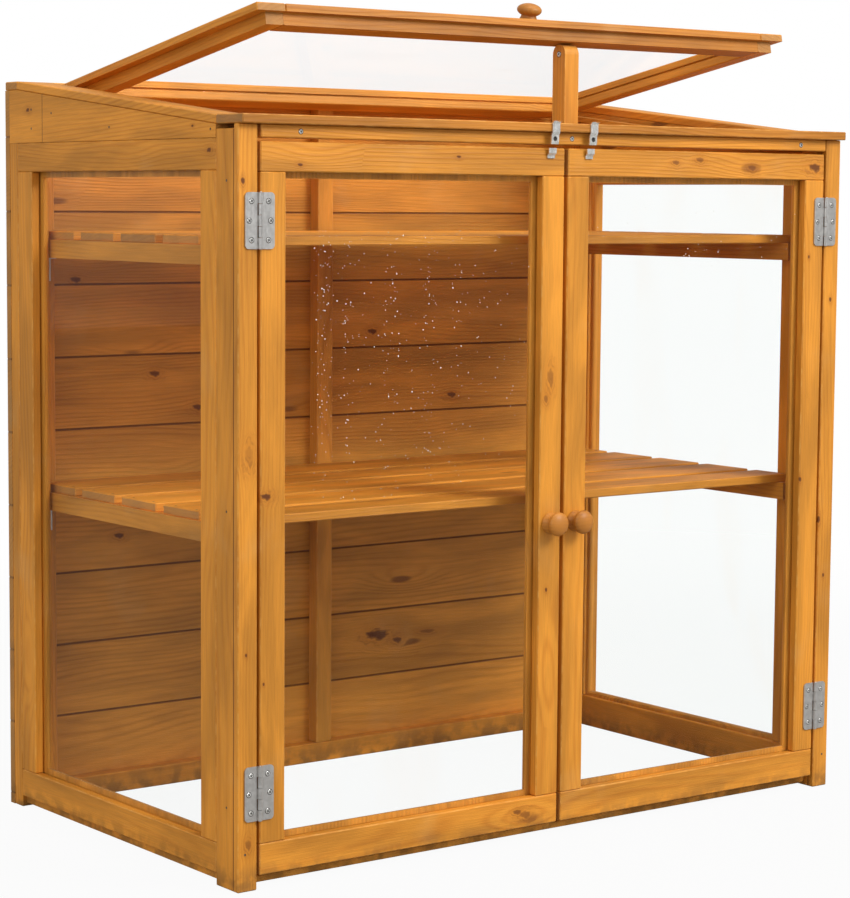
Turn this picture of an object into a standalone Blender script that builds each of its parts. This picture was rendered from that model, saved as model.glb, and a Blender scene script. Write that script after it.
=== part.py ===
"""Lean-to greenhouse in stained pine: two glazed doors, glazed ends, boarded back, two shelves and a propped lid.

Metres, +Z up. X runs to the right as seen from the doors, +Y runs to the wall behind, and z = 0 is the ground.
Every limit on y is measured back from the front posts' face; FRONT_Y turns it into a place in the scene.
"""

from math import acos, atan2, cos, pi, radians, sin, tan

import bmesh
import bpy
from mathutils import Matrix, Vector

# Overall
WIDTH = 1.200
DEPTH = 0.690
POST_HEIGHT = 1.100
REAR_HEIGHT = 1.165

# Frame timber
POST_WIDTH = 0.033
POST_DEPTH = 0.058
POST_FACING = 0.0115
POST_STEP = 0.007
REAR_POST_WIDTH = 0.067
REAR_POST_DEPTH = 0.026
HEAD_RAIL_HEIGHT = 0.019
HEAD_RAIL_GAP = {"left": 0.006, "right": 0.002}
SILL_FRONT = 0.020
SILL_HEIGHT = 0.0105
SILL_LIFT = 0.005

# Back
BOARD_THICKNESS = 0.014
BOARD_PITCH = 0.1192
FIRST_JOINT = 0.018
JOINT_WIDTH = 0.003
BATTEN_WIDTH = 0.032
BACK_RAIL_HEIGHT = 0.034

# Roof edges
CAP_THICKNESS = 0.0135
CAP_OVERHANG = 0.012
ROOF_EDGE_WIDTH = 0.060
GABLE_THICKNESS = 0.020
LEDGER_WIDTH = 0.066
LEDGER_HEIGHT = 0.0165
LEDGER_STEP = 0.008

# Glazed ends
END_THICKNESS = 0.033
END_FRONT_STILE = 0.042
END_REAR_STILE = 0.045
END_TOP = 1.0805
END_TOP_RAIL = 0.0455
END_BOTTOM = 0.006
END_BOTTOM_RAIL = 0.0567
END_STRIP = 0.0135
END_STRIP_RECESS = 0.008

# Doors
DOOR_THICKNESS = 0.033
DOOR_BOTTOM = 0.021
DOOR_STILE = 0.043
DOOR_TOP_RAIL = 0.0425
DOOR_BOTTOM_RAIL = 0.046
HINGE_GAP = 0.005
MEETING_GAP = 0.0075

# Glazing
GLASS_THICKNESS = 0.004
GLASS_SETBACK = 0.014
GLASS_BITE = 0.006
GLASS_PLAY = 0.0006

# Shelves
SHELF_TOPS = {"lower": 0.534, "upper": 0.941}
SLAT_WIDTH = 0.103
SLAT_THICKNESS = 0.014
SLAT_GAP = 0.021
SHELF_FRONT = 0.070
SHELF_BACK_GAP = 0.0095
SHELF_END_GAP = 0.007
BEARER_WIDTH = 0.028
BEARER_HEIGHT = 0.0285

# Lid
LID_OPEN_ANGLE = radians(9.9)
LID_SIDE_GAP = 0.015
LID_SINK = 0.004
LID_BACKSET = 0.004
LIP_THICKNESS = 0.0115
LIP_SIDE_OVERHANG = 0.020
LIP_END_OVERHANG = 0.010
LID_INNER_THICKNESS = 0.018
LID_RAIL = 0.050
LID_REAR_RAIL = 0.060
AXIS_LIFT = 0.0015
AXIS_FORWARD = 0.0035

# Stay that props the lid
STAY_WIDTH = 0.028
STAY_DEPTH = 0.030
STAY_X = 0.071
STAY_LENGTH = 0.115
STAY_GAP = 0.0015

# Hinges
HINGE_LENGTH = 0.080
HINGE_LEAF = 0.0248
HINGE_PLATE = 0.002
HINGE_CORNER = 0.006
KNUCKLE_RADIUS = 0.0035
KNUCKLE_COUNT = 5
AXIS_OUT = 0.004
TOP_HINGE_DROP = 0.1115
BOTTOM_HINGE_RISE = 0.1215

# Knobs and catches
DOOR_KNOB = {"radius": 0.0185, "reach": 0.031, "half_head": 0.0098, "neck": 0.0112, "foot": 0.0165}
LID_KNOB = {"radius": 0.0195, "reach": 0.032, "half_head": 0.0105, "neck": 0.0118, "foot": 0.0172}
KNOB_HEIGHT = 0.497
CATCH_WIDTH = 0.0145
CATCH_PLATE = 0.002
CATCH_HOLE = 0.0038
CATCH_X = {"left": -0.033, "right": 0.0435}
CATCH_BOW = 0.0095
CATCH_TAB = 0.0155
CATCH_TAB_BOW = 0.004
CATCH_RISE = 0.003
CATCH_FLARE = 0.005

# Fits
TOUCH = 0.0003
CLEARANCE = 0.0055
ARRIS = 0.0015
SKIN = 0.0005

# Worked out from the above
HALF = WIDTH / 2
FRONT_Y = -(DEPTH - DOOR_KNOB["reach"]) / 2
REAR_FACE = DEPTH - BOARD_THICKNESS - REAR_POST_DEPTH
ROOF_PITCH = atan2(REAR_HEIGHT - POST_HEIGHT, REAR_FACE - POST_DEPTH)
DOOR_TOP = POST_HEIGHT - HEAD_RAIL_HEIGHT - CLEARANCE
AXIS_X = HALF - POST_WIDTH - HINGE_GAP / 2
INSIDE = HALF - END_THICKNESS
SIDES = (("left", -1), ("right", 1))

# Colour, roughness, metallic and transmission of each kind of finish
FINISHES = {
    "pine": ((0.60, 0.27, 0.055), 0.5, 0.0, 0.0),
    "inner_pine": ((0.46, 0.18, 0.035), 0.6, 0.0, 0.0),
    "zinc": ((0.42, 0.42, 0.41), 0.35, 1.0, 0.0),
    "glass": ((0.86, 0.92, 0.90), 0.05, 0.0, 1.0),
}

# Stands a flat outline up: across runs along Y and up along Z, with its thickness along X.
FACING_SIDE = Matrix(((0, 0, 1, 0), (1, 0, 0, 0), (0, 1, 0, 0), (0, 0, 0, 1)))
# Stands a flat outline up: across runs along X and up along Z, with its thickness along Y.
FACING_FRONT = Matrix(((1, 0, 0, 0), (0, 0, -1, 0), (0, 1, 0, 0), (0, 0, 0, 1)))


# ---------------------------------------------------------------------------------------------- scene and finishes


def new_collection(name):
    made = bpy.data.collections.new(name)
    bpy.context.scene.collection.children.link(made)
    return made


def clear_scene():
    for item in list(bpy.data.objects):
        bpy.data.objects.remove(item)


clear_scene()
PARTS = new_collection("lean_to_greenhouse")
CUTTERS = new_collection("cutters")


def add_finish(item, kind):
    """Give an object a Principled material of its own, of one of the kinds in FINISHES."""
    colour, roughness, metallic, transmission = FINISHES[kind]
    made = bpy.data.materials.new(item.name)
    made.use_nodes = True
    made.diffuse_color = (*colour, 1.0)
    shader = made.node_tree.nodes["Principled BSDF"]
    shader.inputs["Base Color"].default_value = (*colour, 1.0)
    shader.inputs["Roughness"].default_value = roughness
    shader.inputs["Metallic"].default_value = metallic
    shader.inputs["Transmission Weight"].default_value = transmission
    item.data.materials.append(made)


def add_part(name, mesh, kind, parent=None):
    item = bpy.data.objects.new(name, mesh)
    PARTS.objects.link(item)
    item.parent = parent
    add_finish(item, kind)
    return item


def add_cutter(name, mesh, parent=None):
    """A shape that is only there to be joined to a part or cut from it."""
    item = bpy.data.objects.new(name, mesh)
    CUTTERS.objects.link(item)
    item.parent = parent
    item.hide_render = True
    item.display_type = "WIRE"
    return item


def add_axis(name, location, parent=None, tilt=0.0):
    """An empty on a joint's axis, tilted about X."""
    item = bpy.data.objects.new(name, None)
    PARTS.objects.link(item)
    item.parent = parent
    item.location = location
    item.rotation_euler = (tilt, 0, 0)
    return item


# -------------------------------------------------------------------------------------------------- making shapes


def mesh_from(name, shape):
    mesh = bpy.data.meshes.new(name)
    shape.to_mesh(mesh)
    shape.free()
    return mesh


def box_mesh(name, size):
    shape = bmesh.new()
    bmesh.ops.create_cube(shape, size=1.0, matrix=Matrix.Diagonal((*size, 1.0)))
    return mesh_from(name, shape)


def rod_mesh(name, radius, length):
    shape = bmesh.new()
    bmesh.ops.create_cone(shape, cap_ends=True, segments=20, radius1=radius, radius2=radius, depth=length)
    return mesh_from(name, shape)


def outline_mesh(name, outline, thickness):
    """A flat outline, filled and given a thickness as a 2D curve, then made a mesh."""
    curve = bpy.data.curves.new(name, "CURVE")
    curve.dimensions = "2D"
    curve.fill_mode = "BOTH"
    curve.extrude = thickness / 2
    line = curve.splines.new("POLY")
    line.points.add(len(outline) - 1)
    for point, (across, up) in zip(line.points, outline):
        point.co = (across, up, 0.0, 1.0)
    line.use_cyclic_u = True
    carrier = bpy.data.objects.new(name + "_outline", curve)
    bpy.context.scene.collection.objects.link(carrier)
    evaluated = carrier.evaluated_get(bpy.context.evaluated_depsgraph_get())
    shape = bmesh.new()
    shape.from_mesh(bpy.data.meshes.new_from_object(evaluated))
    bmesh.ops.remove_doubles(shape, verts=shape.verts, dist=1e-6)
    bmesh.ops.recalc_face_normals(shape, faces=shape.faces)
    bpy.data.objects.remove(carrier)
    return mesh_from(name, shape)


def size_and_middle(x, y, z, parent):
    """Size and centre of a box between limits, which are in the parent axis's own frame if there is one."""
    if parent is None:
        y = (y[0] + FRONT_Y, y[1] + FRONT_Y)
    spans = (x, y, z)
    return [high - low for low, high in spans], Vector([(low + high) / 2 for low, high in spans])


def ease_edges(item, width=ARRIS):
    """Take the sharp edges off a timber."""
    bevel = item.modifiers.new("eased edges", "BEVEL")
    bevel.width = width
    bevel.segments = 1
    bevel.limit_method = "ANGLE"
    bevel.angle_limit = radians(30)


def beam(name, x, y, z, kind="pine", parent=None):
    """A squared timber between two limits on each axis."""
    size, centre = size_and_middle(x, y, z, parent)
    item = add_part(name, box_mesh(name, size), kind, parent)
    item.location = centre
    ease_edges(item)
    return item


def box_cutter(name, x, y, z, parent=None):
    size, centre = size_and_middle(x, y, z, parent)
    item = add_cutter(name, box_mesh(name, size), parent)
    item.location = centre
    return item


def stand(item, facing, location):
    item.matrix_basis = Matrix.Translation(location) @ facing


def side_board(name, outline, x, kind="pine", parent=None):
    """A board between two limits on X, with its outline of (y, z) points seen from the side."""
    if parent is None:
        outline = [(y + FRONT_Y, z) for y, z in outline]
    item = add_part(name, outline_mesh(name, outline, x[1] - x[0]), kind, parent)
    stand(item, FACING_SIDE, ((x[0] + x[1]) / 2, 0, 0))
    return item


def side_cutter(name, outline, x):
    outline = [(y + FRONT_Y, z) for y, z in outline]
    item = add_cutter(name, outline_mesh(name, outline, x[1] - x[0]))
    stand(item, FACING_SIDE, ((x[0] + x[1]) / 2, 0, 0))
    return item


def combine(item, tool, operation):
    step = item.modifiers.new(operation.lower(), "BOOLEAN")
    step.operation = operation
    step.solver = "EXACT"
    step.object = tool


def turned(name, profile, kind, parent, sides=32):
    """A piece turned about its own Z, from a profile of (radius, height) points that runs down its outer side."""
    shape = bmesh.new()
    points = [shape.verts.new((radius, 0.0, height)) for radius, height in profile]
    for start, end in zip(points, points[1:]):
        shape.edges.new((start, end))
    item = add_part(name, mesh_from(name, shape), kind, parent)
    screw = item.modifiers.new("turned", "SCREW")
    screw.steps = sides
    screw.render_steps = sides
    screw.use_merge_vertices = True
    screw.merge_threshold = 0.00001
    item.data.shade_smooth()
    return item


def mirrored(side, near, far):
    """Limits on X from two distances from the middle, on one side of it."""
    return tuple(sorted((side * near, side * far)))


def roof_under(y):
    """Height of the roof edge boards' underside."""
    return POST_HEIGHT + (y - POST_DEPTH) * tan(ROOF_PITCH)


def sloping_band(front, back, low, high):
    """Outline of a band along the roof's slope, between two heights above the roof edges' underside."""
    return [
        (front, roof_under(front) + low),
        (back, roof_under(back) + low),
        (back, roof_under(back) + high),
        (front, roof_under(front) + high),
    ]


def glaze(name, x, y, z, members, parent=None):
    """Fit a pane in the opening between members, and cut the groove that holds it. Its thin way stays its own."""
    opening = (x, y, z)
    thin = min(range(3), key=lambda way: opening[way][1] - opening[way][0])
    pane, groove = [], []
    for way, (low, high) in enumerate(opening):
        if way == thin:
            pane.append((low, high))
            groove.append((low - GLASS_PLAY, high + GLASS_PLAY))
        else:
            pane.append((low - GLASS_BITE + GLASS_PLAY, high + GLASS_BITE - GLASS_PLAY))
            groove.append((low - GLASS_BITE, high + GLASS_BITE))
    tool = box_cutter(name + "_groove", *groove, parent=parent)
    for member in members:
        combine(member, tool, "DIFFERENCE")
    size, centre = size_and_middle(*pane, parent)
    item = add_part(name, box_mesh(name, size), "glass", parent)
    item.location = centre


# ---------------------------------------------------------------------------------------------------- fixed frame


def build_front_frame():
    """Front posts with their facing, head rail, cap board and sill."""
    step = POST_HEIGHT - POST_STEP
    for label, side in SIDES:
        outline = [
            (0, 0),
            (POST_DEPTH, 0),
            (POST_DEPTH, step),
            (POST_FACING, step),
            (POST_FACING, POST_HEIGHT - TOUCH),
            (0, POST_HEIGHT - TOUCH),
        ]
        post = side_board(f"front_post_{label}", outline, mirrored(side, HALF - POST_WIDTH, HALF))
        ease_edges(post)
    inner = HALF - POST_WIDTH
    beam("head_rail", (-inner + HEAD_RAIL_GAP["left"], inner - HEAD_RAIL_GAP["right"]), (0, DOOR_THICKNESS),
         (POST_HEIGHT - HEAD_RAIL_HEIGHT, POST_HEIGHT - TOUCH))
    beam("front_cap", (-HALF, HALF), (-CAP_OVERHANG, POST_DEPTH), (POST_HEIGHT, POST_HEIGHT + CAP_THICKNESS))
    beam("front_sill", (-inner + TOUCH, inner - TOUCH), (SILL_FRONT, POST_DEPTH),
         (SILL_LIFT, SILL_LIFT + SILL_HEIGHT), "inner_pine")


def build_end_panel(label, side):
    """A glazed end between the front and rear posts, with a recessed strip along its foot."""
    x = mirrored(side, INSIDE, HALF)
    front, back = POST_DEPTH + TOUCH, REAR_FACE - TOUCH
    low, high = END_BOTTOM + END_BOTTOM_RAIL, END_TOP - END_TOP_RAIL
    upright = (low + TOUCH, high - TOUCH)
    top_rail = beam(f"end_top_rail_{label}", x, (front, back), (high, END_TOP))
    bottom_rail = beam(f"end_bottom_rail_{label}", x, (front, back), (END_BOTTOM, low))
    front_stile = beam(f"end_front_stile_{label}", x, (front, front + END_FRONT_STILE), upright)
    rear_stile = beam(f"end_rear_stile_{label}", x, (back - END_REAR_STILE, back), upright)
    strip = box_cutter(f"end_strip_{label}", mirrored(side, HALF - END_STRIP_RECESS, HALF + END_STRIP_RECESS),
                       (0, DEPTH), (0, END_BOTTOM + END_STRIP))
    combine(bottom_rail, strip, "DIFFERENCE")
    glaze(f"end_glass_{label}", mirrored(side, HALF - GLASS_SETBACK - GLASS_THICKNESS, HALF - GLASS_SETBACK),
          (front + END_FRONT_STILE, back - END_REAR_STILE), (low, high),
          (top_rail, bottom_rail, front_stile, rear_stile))


def build_roof_side(label, side):
    """Tapered gable board over a glazed end, the sloping roof edge on it, and the ledger the lid closes on."""
    front, back = POST_DEPTH + TOUCH, REAR_FACE - TOUCH
    gable_low = END_TOP + TOUCH
    gable_back = REAR_FACE + REAR_POST_DEPTH - TOUCH
    outline = [
        (front, gable_low),
        (gable_back, gable_low),
        (gable_back, REAR_HEIGHT - TOUCH),
        (REAR_FACE, REAR_HEIGHT - TOUCH),
        (front, roof_under(front) - TOUCH),
    ]
    side_board(f"gable_{label}", outline, mirrored(side, HALF - GABLE_THICKNESS, HALF))
    edge = side_board(f"roof_edge_{label}", sloping_band(front, back, 0, CAP_THICKNESS),
                      mirrored(side, HALF - ROOF_EDGE_WIDTH, HALF))
    ease_edges(edge)
    reach = HALF - GABLE_THICKNESS - TOUCH
    ledger = side_board(f"lid_ledger_{label}", sloping_band(front, back, -LEDGER_HEIGHT, -TOUCH),
                        mirrored(side, reach - LEDGER_WIDTH, reach), "inner_pine")
    step = side_cutter(f"lid_ledger_step_{label}", sloping_band(0, DEPTH, -LEDGER_STEP, CAP_THICKNESS),
                       mirrored(side, 0, HALF - ROOF_EDGE_WIDTH))
    combine(ledger, step, "DIFFERENCE")


def board_joints():
    """Heights of the joints between the back boards."""
    count = int((REAR_HEIGHT - BOARD_PITCH / 2 - FIRST_JOINT) / BOARD_PITCH)
    return [FIRST_JOINT + index * BOARD_PITCH for index in range(count + 1)]


def board_outline(front, back, top):
    """Section through the back boards, with a V at each joint on both faces."""
    half = JOINT_WIDTH / 2
    points = [(front, 0)]
    for joint in board_joints():
        points += [(front, joint - half), (front + half, joint), (front, joint + half)]
    points += [(front, top), (back, top)]
    for joint in reversed(board_joints()):
        points += [(back, joint + half), (back - half, joint), (back, joint - half)]
    points.append((back, 0))
    return points


def build_back():
    """Rear posts, boards, centre batten, bottom rail and level cap board."""
    front, back = REAR_FACE, REAR_FACE + REAR_POST_DEPTH
    for label, side in SIDES:
        post = beam(f"rear_post_{label}", mirrored(side, HALF - REAR_POST_WIDTH, HALF), (front, back - TOUCH),
                    (0, REAR_HEIGHT - TOUCH))
        notch = box_cutter(f"gable_notch_{label}",
                           mirrored(side, HALF - GABLE_THICKNESS - TOUCH, HALF + GABLE_THICKNESS), (0, DEPTH),
                           (END_TOP, REAR_HEIGHT + CAP_THICKNESS))
        combine(post, notch, "DIFFERENCE")
    side_board("back_boards", board_outline(back, DEPTH, REAR_HEIGHT - TOUCH), (-HALF, HALF), "inner_pine")
    inner = HALF - REAR_POST_WIDTH - TOUCH
    beam("back_bottom_rail", (-inner, inner), (front, back - TOUCH), (0, BACK_RAIL_HEIGHT))
    beam("back_batten", (-BATTEN_WIDTH / 2, BATTEN_WIDTH / 2), (front, back - TOUCH),
         (BACK_RAIL_HEIGHT + TOUCH, REAR_HEIGHT - TOUCH), "inner_pine")
    beam("rear_cap", (-HALF, HALF), (REAR_FACE, DEPTH), (REAR_HEIGHT, REAR_HEIGHT + CAP_THICKNESS))


# -------------------------------------------------------------------------------------------------------- shelves


def slat_limits():
    """Limits on y of a shelf's slats, laid from the back, the front one narrower to end at the shelf's front."""
    limits = []
    back = REAR_FACE - SHELF_BACK_GAP
    while back - SLAT_WIDTH > SHELF_FRONT:
        limits.append((back - SLAT_WIDTH, back))
        back -= SLAT_WIDTH + SLAT_GAP
    if back - SHELF_FRONT > SLAT_GAP:
        limits.append((SHELF_FRONT, back))
    return limits


def build_shelf(label, top):
    """A shelf as one piece: two bearers along the ends, joined by the slats that lie across them."""
    under = top - SLAT_THICKNESS
    slats = [(-INSIDE + SHELF_END_GAP, INSIDE - SHELF_END_GAP)] * len(slat_limits())
    shelf = None
    for index, (x, y) in enumerate(zip(slats, slat_limits())):
        size, centre = size_and_middle(x, y, (under, top), None)
        if shelf is None:
            shelf = add_part(f"{label}_shelf", box_mesh(f"{label}_shelf", size), "pine")
            shelf.location = centre
            ease_edges(shelf)
            continue
        slat = box_cutter(f"{label}_slat_{index}", x, y, (under, top))
        ease_edges(slat)
        combine(shelf, slat, "UNION")
    for tag, side in SIDES:
        bearer = box_cutter(f"{label}_bearer_{tag}",
                            mirrored(side, INSIDE - TOUCH - BEARER_WIDTH, INSIDE - TOUCH),
                            (POST_DEPTH + TOUCH, REAR_FACE - TOUCH), (under - BEARER_HEIGHT, under + SKIN))
        combine(shelf, bearer, "UNION")


# ---------------------------------------------------------------------------------------------------------- doors


def knob_profile(radius, reach, half_head, neck, foot):
    """Profile of a turned knob, from its tip down over a flattened head to the neck and the foot that it flares to."""
    centre = reach - half_head
    lowest = -acos(neck / radius)
    steps = 10
    points = [(0.0, reach)]
    for index in range(1, steps + 1):
        angle = pi / 2 + (lowest - pi / 2) * index / steps
        points.append((radius * cos(angle), centre + half_head * sin(angle)))
    seat = points[-1][1] / 3
    points += [(neck + (foot - neck) / 3, 2 * seat), (foot, seat), (foot, TOUCH), (0.0, TOUCH)]
    return points


def build_door(label, side):
    """One door, in the frame of its hinge axis: x from the axis, y back from it."""
    axis = add_axis(f"door_axis_{label}", (side * AXIS_X, FRONT_Y - AXIS_OUT, 0))
    hang = HALF - POST_WIDTH - HINGE_GAP
    meet = MEETING_GAP / 2

    def across(near, far):
        low, high = mirrored(side, near, far)
        return low - side * AXIS_X, high - side * AXIS_X

    thick = (AXIS_OUT, AXIS_OUT + DOOR_THICKNESS)
    low, high = DOOR_BOTTOM + DOOR_BOTTOM_RAIL, DOOR_TOP - DOOR_TOP_RAIL
    upright = (low + TOUCH, high - TOUCH)
    top_rail = beam(f"door_top_rail_{label}", across(meet, hang), thick, (high, DOOR_TOP), parent=axis)
    bottom_rail = beam(f"door_bottom_rail_{label}", across(meet, hang), thick, (DOOR_BOTTOM, low), parent=axis)
    hinge_stile = beam(f"door_hinge_stile_{label}", across(hang - DOOR_STILE, hang), thick, upright,
                       parent=axis)
    meeting_stile = beam(f"door_meeting_stile_{label}", across(meet, meet + DOOR_STILE), thick, upright,
                         parent=axis)
    glaze(f"door_glass_{label}", across(meet + DOOR_STILE, hang - DOOR_STILE),
          (AXIS_OUT + GLASS_SETBACK, AXIS_OUT + GLASS_SETBACK + GLASS_THICKNESS), (low, high),
          (top_rail, bottom_rail, hinge_stile, meeting_stile), parent=axis)
    knob = turned(f"door_knob_{label}", knob_profile(**DOOR_KNOB), "pine", axis)
    knob.location = (side * (meet + DOOR_STILE / 2 - AXIS_X), AXIS_OUT, KNOB_HEIGHT)
    knob.rotation_euler = (pi / 2, 0, 0)
    build_hinge(f"top_{label}", side, DOOR_TOP - TOP_HINGE_DROP, axis)
    build_hinge(f"bottom_{label}", side, DOOR_BOTTOM + BOTTOM_HINGE_RISE, axis)
    build_catch(label, axis)


def leaf_outline(out):
    """Outline of a hinge leaf with rounded outer corners, across from the axis and up from its middle."""
    inner, half = AXIS_OUT + TOUCH, HINGE_LENGTH / 2
    points = [(out * inner, -half)]
    for corner, start in ((-half + HINGE_CORNER, -pi / 2), (half - HINGE_CORNER, 0)):
        for index in range(5):
            angle = start + index * pi / 8
            across = HINGE_LEAF - HINGE_CORNER + HINGE_CORNER * cos(angle)
            points.append((out * across, corner + HINGE_CORNER * sin(angle)))
    points.append((out * inner, half))
    return points


def build_hinge(tag, side, height, door_axis):
    """A butt hinge on the faces: a fixed leaf with the odd knuckles and a door leaf with the even ones."""
    pitch = HINGE_LENGTH / KNUCKLE_COUNT
    tall = pitch - 2 * TOUCH
    plate = AXIS_OUT - TOUCH - HINGE_PLATE / 2
    lug_reach = AXIS_OUT + HINGE_PLATE
    for kind, out, first, parent in (("fixed", side, 0, None), ("door", -side, 1, door_axis)):
        name = f"hinge_{tag}_{kind}"
        base = Vector((0, 0, height)) if parent else door_axis.location + Vector((0, 0, height))
        leaf = add_part(name, outline_mesh(name, leaf_outline(out), HINGE_PLATE), "zinc", parent)
        stand(leaf, FACING_FRONT, base + Vector((0, plate, 0)))
        for index in range(first, KNUCKLE_COUNT, 2):
            level = Vector((0, 0, (index + 0.5) * pitch - HINGE_LENGTH / 2))
            knuckle = add_cutter(f"{name}_knuckle_{index}", rod_mesh(name, KNUCKLE_RADIUS, tall), parent)
            knuckle.location = base + level
            combine(leaf, knuckle, "UNION")
            lug = add_cutter(f"{name}_lug_{index}", box_mesh(name, (lug_reach, HINGE_PLATE, tall)), parent)
            lug.location = base + level + Vector((out * lug_reach / 2, plate, 0))
            combine(leaf, lug, "UNION")


def strap_outline(path):
    """Outline of a bent strap, as points of (y, z) seen from the side, from the path of its back."""
    return path + [(y - CATCH_PLATE, z) for y, z in reversed(path)]


def build_catch(label, door_axis):
    """A holed strap down the cap board's nose, bowed over the head rail, and a bowed tab under it on the door."""
    centre = CATCH_X[label]
    x = (centre - CATCH_WIDTH / 2, centre + CATCH_WIDTH / 2)
    low, neck = POST_HEIGHT - HEAD_RAIL_HEIGHT + TOUCH, POST_HEIGHT - TOUCH
    out = -CAP_OVERHANG - TOUCH
    tip = POST_HEIGHT + CAP_THICKNESS + CATCH_RISE
    middle = (low + neck) / 2 - CATCH_PLATE / 2
    path = [
        (-CATCH_BOW + CATCH_PLATE / 2, low),
        (-CATCH_BOW, low + 2 * CATCH_PLATE),
        (-CATCH_BOW, middle + CATCH_HOLE + CATCH_PLATE / 2),
        (out, neck),
        (out, tip - 2 * CATCH_PLATE),
        (out - CATCH_FLARE / 3, tip - CATCH_PLATE),
        (out - CATCH_FLARE, tip),
    ]
    plate = side_board(f"catch_plate_{label}", strap_outline(path), x, "zinc")
    hole = add_cutter(f"catch_hole_{label}", rod_mesh("catch_hole", CATCH_HOLE, 4 * CATCH_PLATE))
    hole.rotation_euler = (pi / 2, 0, 0)
    hole.location = (centre, FRONT_Y - CATCH_BOW, middle)
    combine(plate, hole, "DIFFERENCE")
    x = (x[0] - door_axis.location.x, x[1] - door_axis.location.x)
    face, end = AXIS_OUT - TOUCH, DOOR_TOP - CATCH_TAB
    path = [
        (face, end),
        (face, end + 2 * CATCH_PLATE),
        (face - CATCH_TAB_BOW, end + 2 * CATCH_PLATE + CATCH_TAB_BOW),
        (face - CATCH_TAB_BOW, DOOR_TOP),
    ]
    side_board(f"catch_tab_{label}", strap_outline(path), x, "zinc", door_axis)


# -------------------------------------------------------------------------------------------------- lid and stay


def build_lid():
    """The lid, in the frame of its hinge axis and propped open: each rail has a thin lip over a narrower part."""
    axis_y = REAR_FACE - AXIS_FORWARD
    axis_z = REAR_HEIGHT + CAP_THICKNESS + AXIS_LIFT
    axis = add_axis("lid_axis", (0, axis_y + FRONT_Y, axis_z), tilt=-LID_OPEN_ANGLE)
    top = -AXIS_LIFT - LID_SINK
    lip = top - LIP_THICKNESS
    low = lip - LID_INNER_THICKNESS
    rear = -LID_BACKSET
    front = -(axis_y - POST_DEPTH - CLEARANCE - abs(top) * sin(ROOF_PITCH)) / cos(ROOF_PITCH)
    half = HALF - ROOF_EDGE_WIDTH - LID_SIDE_GAP
    inner_x = (-half + LID_RAIL, half - LID_RAIL)
    inner_y = (front + LID_RAIL, rear - LID_REAR_RAIL)
    fitted = (inner_x[0] + TOUCH, inner_x[1] - TOUCH)
    rails = [
        beam("lid_front_rail", fitted, (front, inner_y[0]), (low, top), parent=axis),
        beam("lid_rear_rail", fitted, (inner_y[1], rear), (low, top), parent=axis),
        beam("lid_left_rail", (-half, inner_x[0]), (front, rear), (low, top), parent=axis),
        beam("lid_right_rail", (inner_x[1], half), (front, rear), (low, top), parent=axis),
    ]
    beyond = half + LID_RAIL
    under = (low - LID_RAIL, lip)
    rebates = {
        "front": ((-beyond, beyond), (front - LID_RAIL, front + LIP_END_OVERHANG)),
        "rear": ((-beyond, beyond), (rear - LIP_END_OVERHANG, rear + LID_RAIL)),
        "left": ((-beyond, -half + LIP_SIDE_OVERHANG), (front - LID_RAIL, rear + LID_RAIL)),
        "right": ((half - LIP_SIDE_OVERHANG, beyond), (front - LID_RAIL, rear + LID_RAIL)),
    }
    for label, (x, y) in rebates.items():
        rebate = box_cutter(f"lid_rebate_{label}", x, y, under, parent=axis)
        for rail in rails:
            if label in ("front", "rear") and rail.name.startswith(("lid_left", "lid_right")):
                combine(rail, rebate, "DIFFERENCE")
            elif rail.name == f"lid_{label}_rail":
                combine(rail, rebate, "DIFFERENCE")
    glaze("lid_glass", inner_x, inner_y, (lip - GLASS_THICKNESS, lip), rails, parent=axis)
    knob = turned("lid_knob", knob_profile(**LID_KNOB), "pine", axis)
    knob.location = (0, front + LID_RAIL / 2, top)
    build_stay(axis, Vector((STAY_X, front + (LIP_END_OVERHANG + LID_RAIL) / 2,
                             low - STAY_DEPTH / 2 - STAY_GAP)))


def build_stay(lid_axis, place):
    """A square prop with a rounded head, which hangs upright from a pin under the lid's front rail."""
    axis = add_axis("stay_axis", place, lid_axis, LID_OPEN_ANGLE)
    radius = STAY_DEPTH / 2
    outline = [(-radius, -STAY_LENGTH), (radius, -STAY_LENGTH)]
    outline += [(radius * cos(angle), radius * sin(angle)) for angle in [pi * step / 12 for step in range(13)]]
    side_board("lid_stay", outline, (-STAY_WIDTH / 2, STAY_WIDTH / 2), parent=axis)


def main():
    build_front_frame()
    for label, side in SIDES:
        build_end_panel(label, side)
        build_roof_side(label, side)
    build_back()
    for label, top in SHELF_TOPS.items():
        build_shelf(label, top)
    for label, side in SIDES:
        build_door(label, side)
    build_lid()


main()
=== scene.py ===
"""Lean-to greenhouse: finishes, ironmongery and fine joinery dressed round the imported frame.

Every place comes from the frame's own boxes, in metres, +Z up, with the doors facing -Y.
"""
import logging
import math
import random
from dataclasses import dataclass, field
from enum import Enum
from typing import Any, Iterable, Sequence

import bmesh
import bpy
from mathutils import Euler, Matrix, Vector


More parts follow.
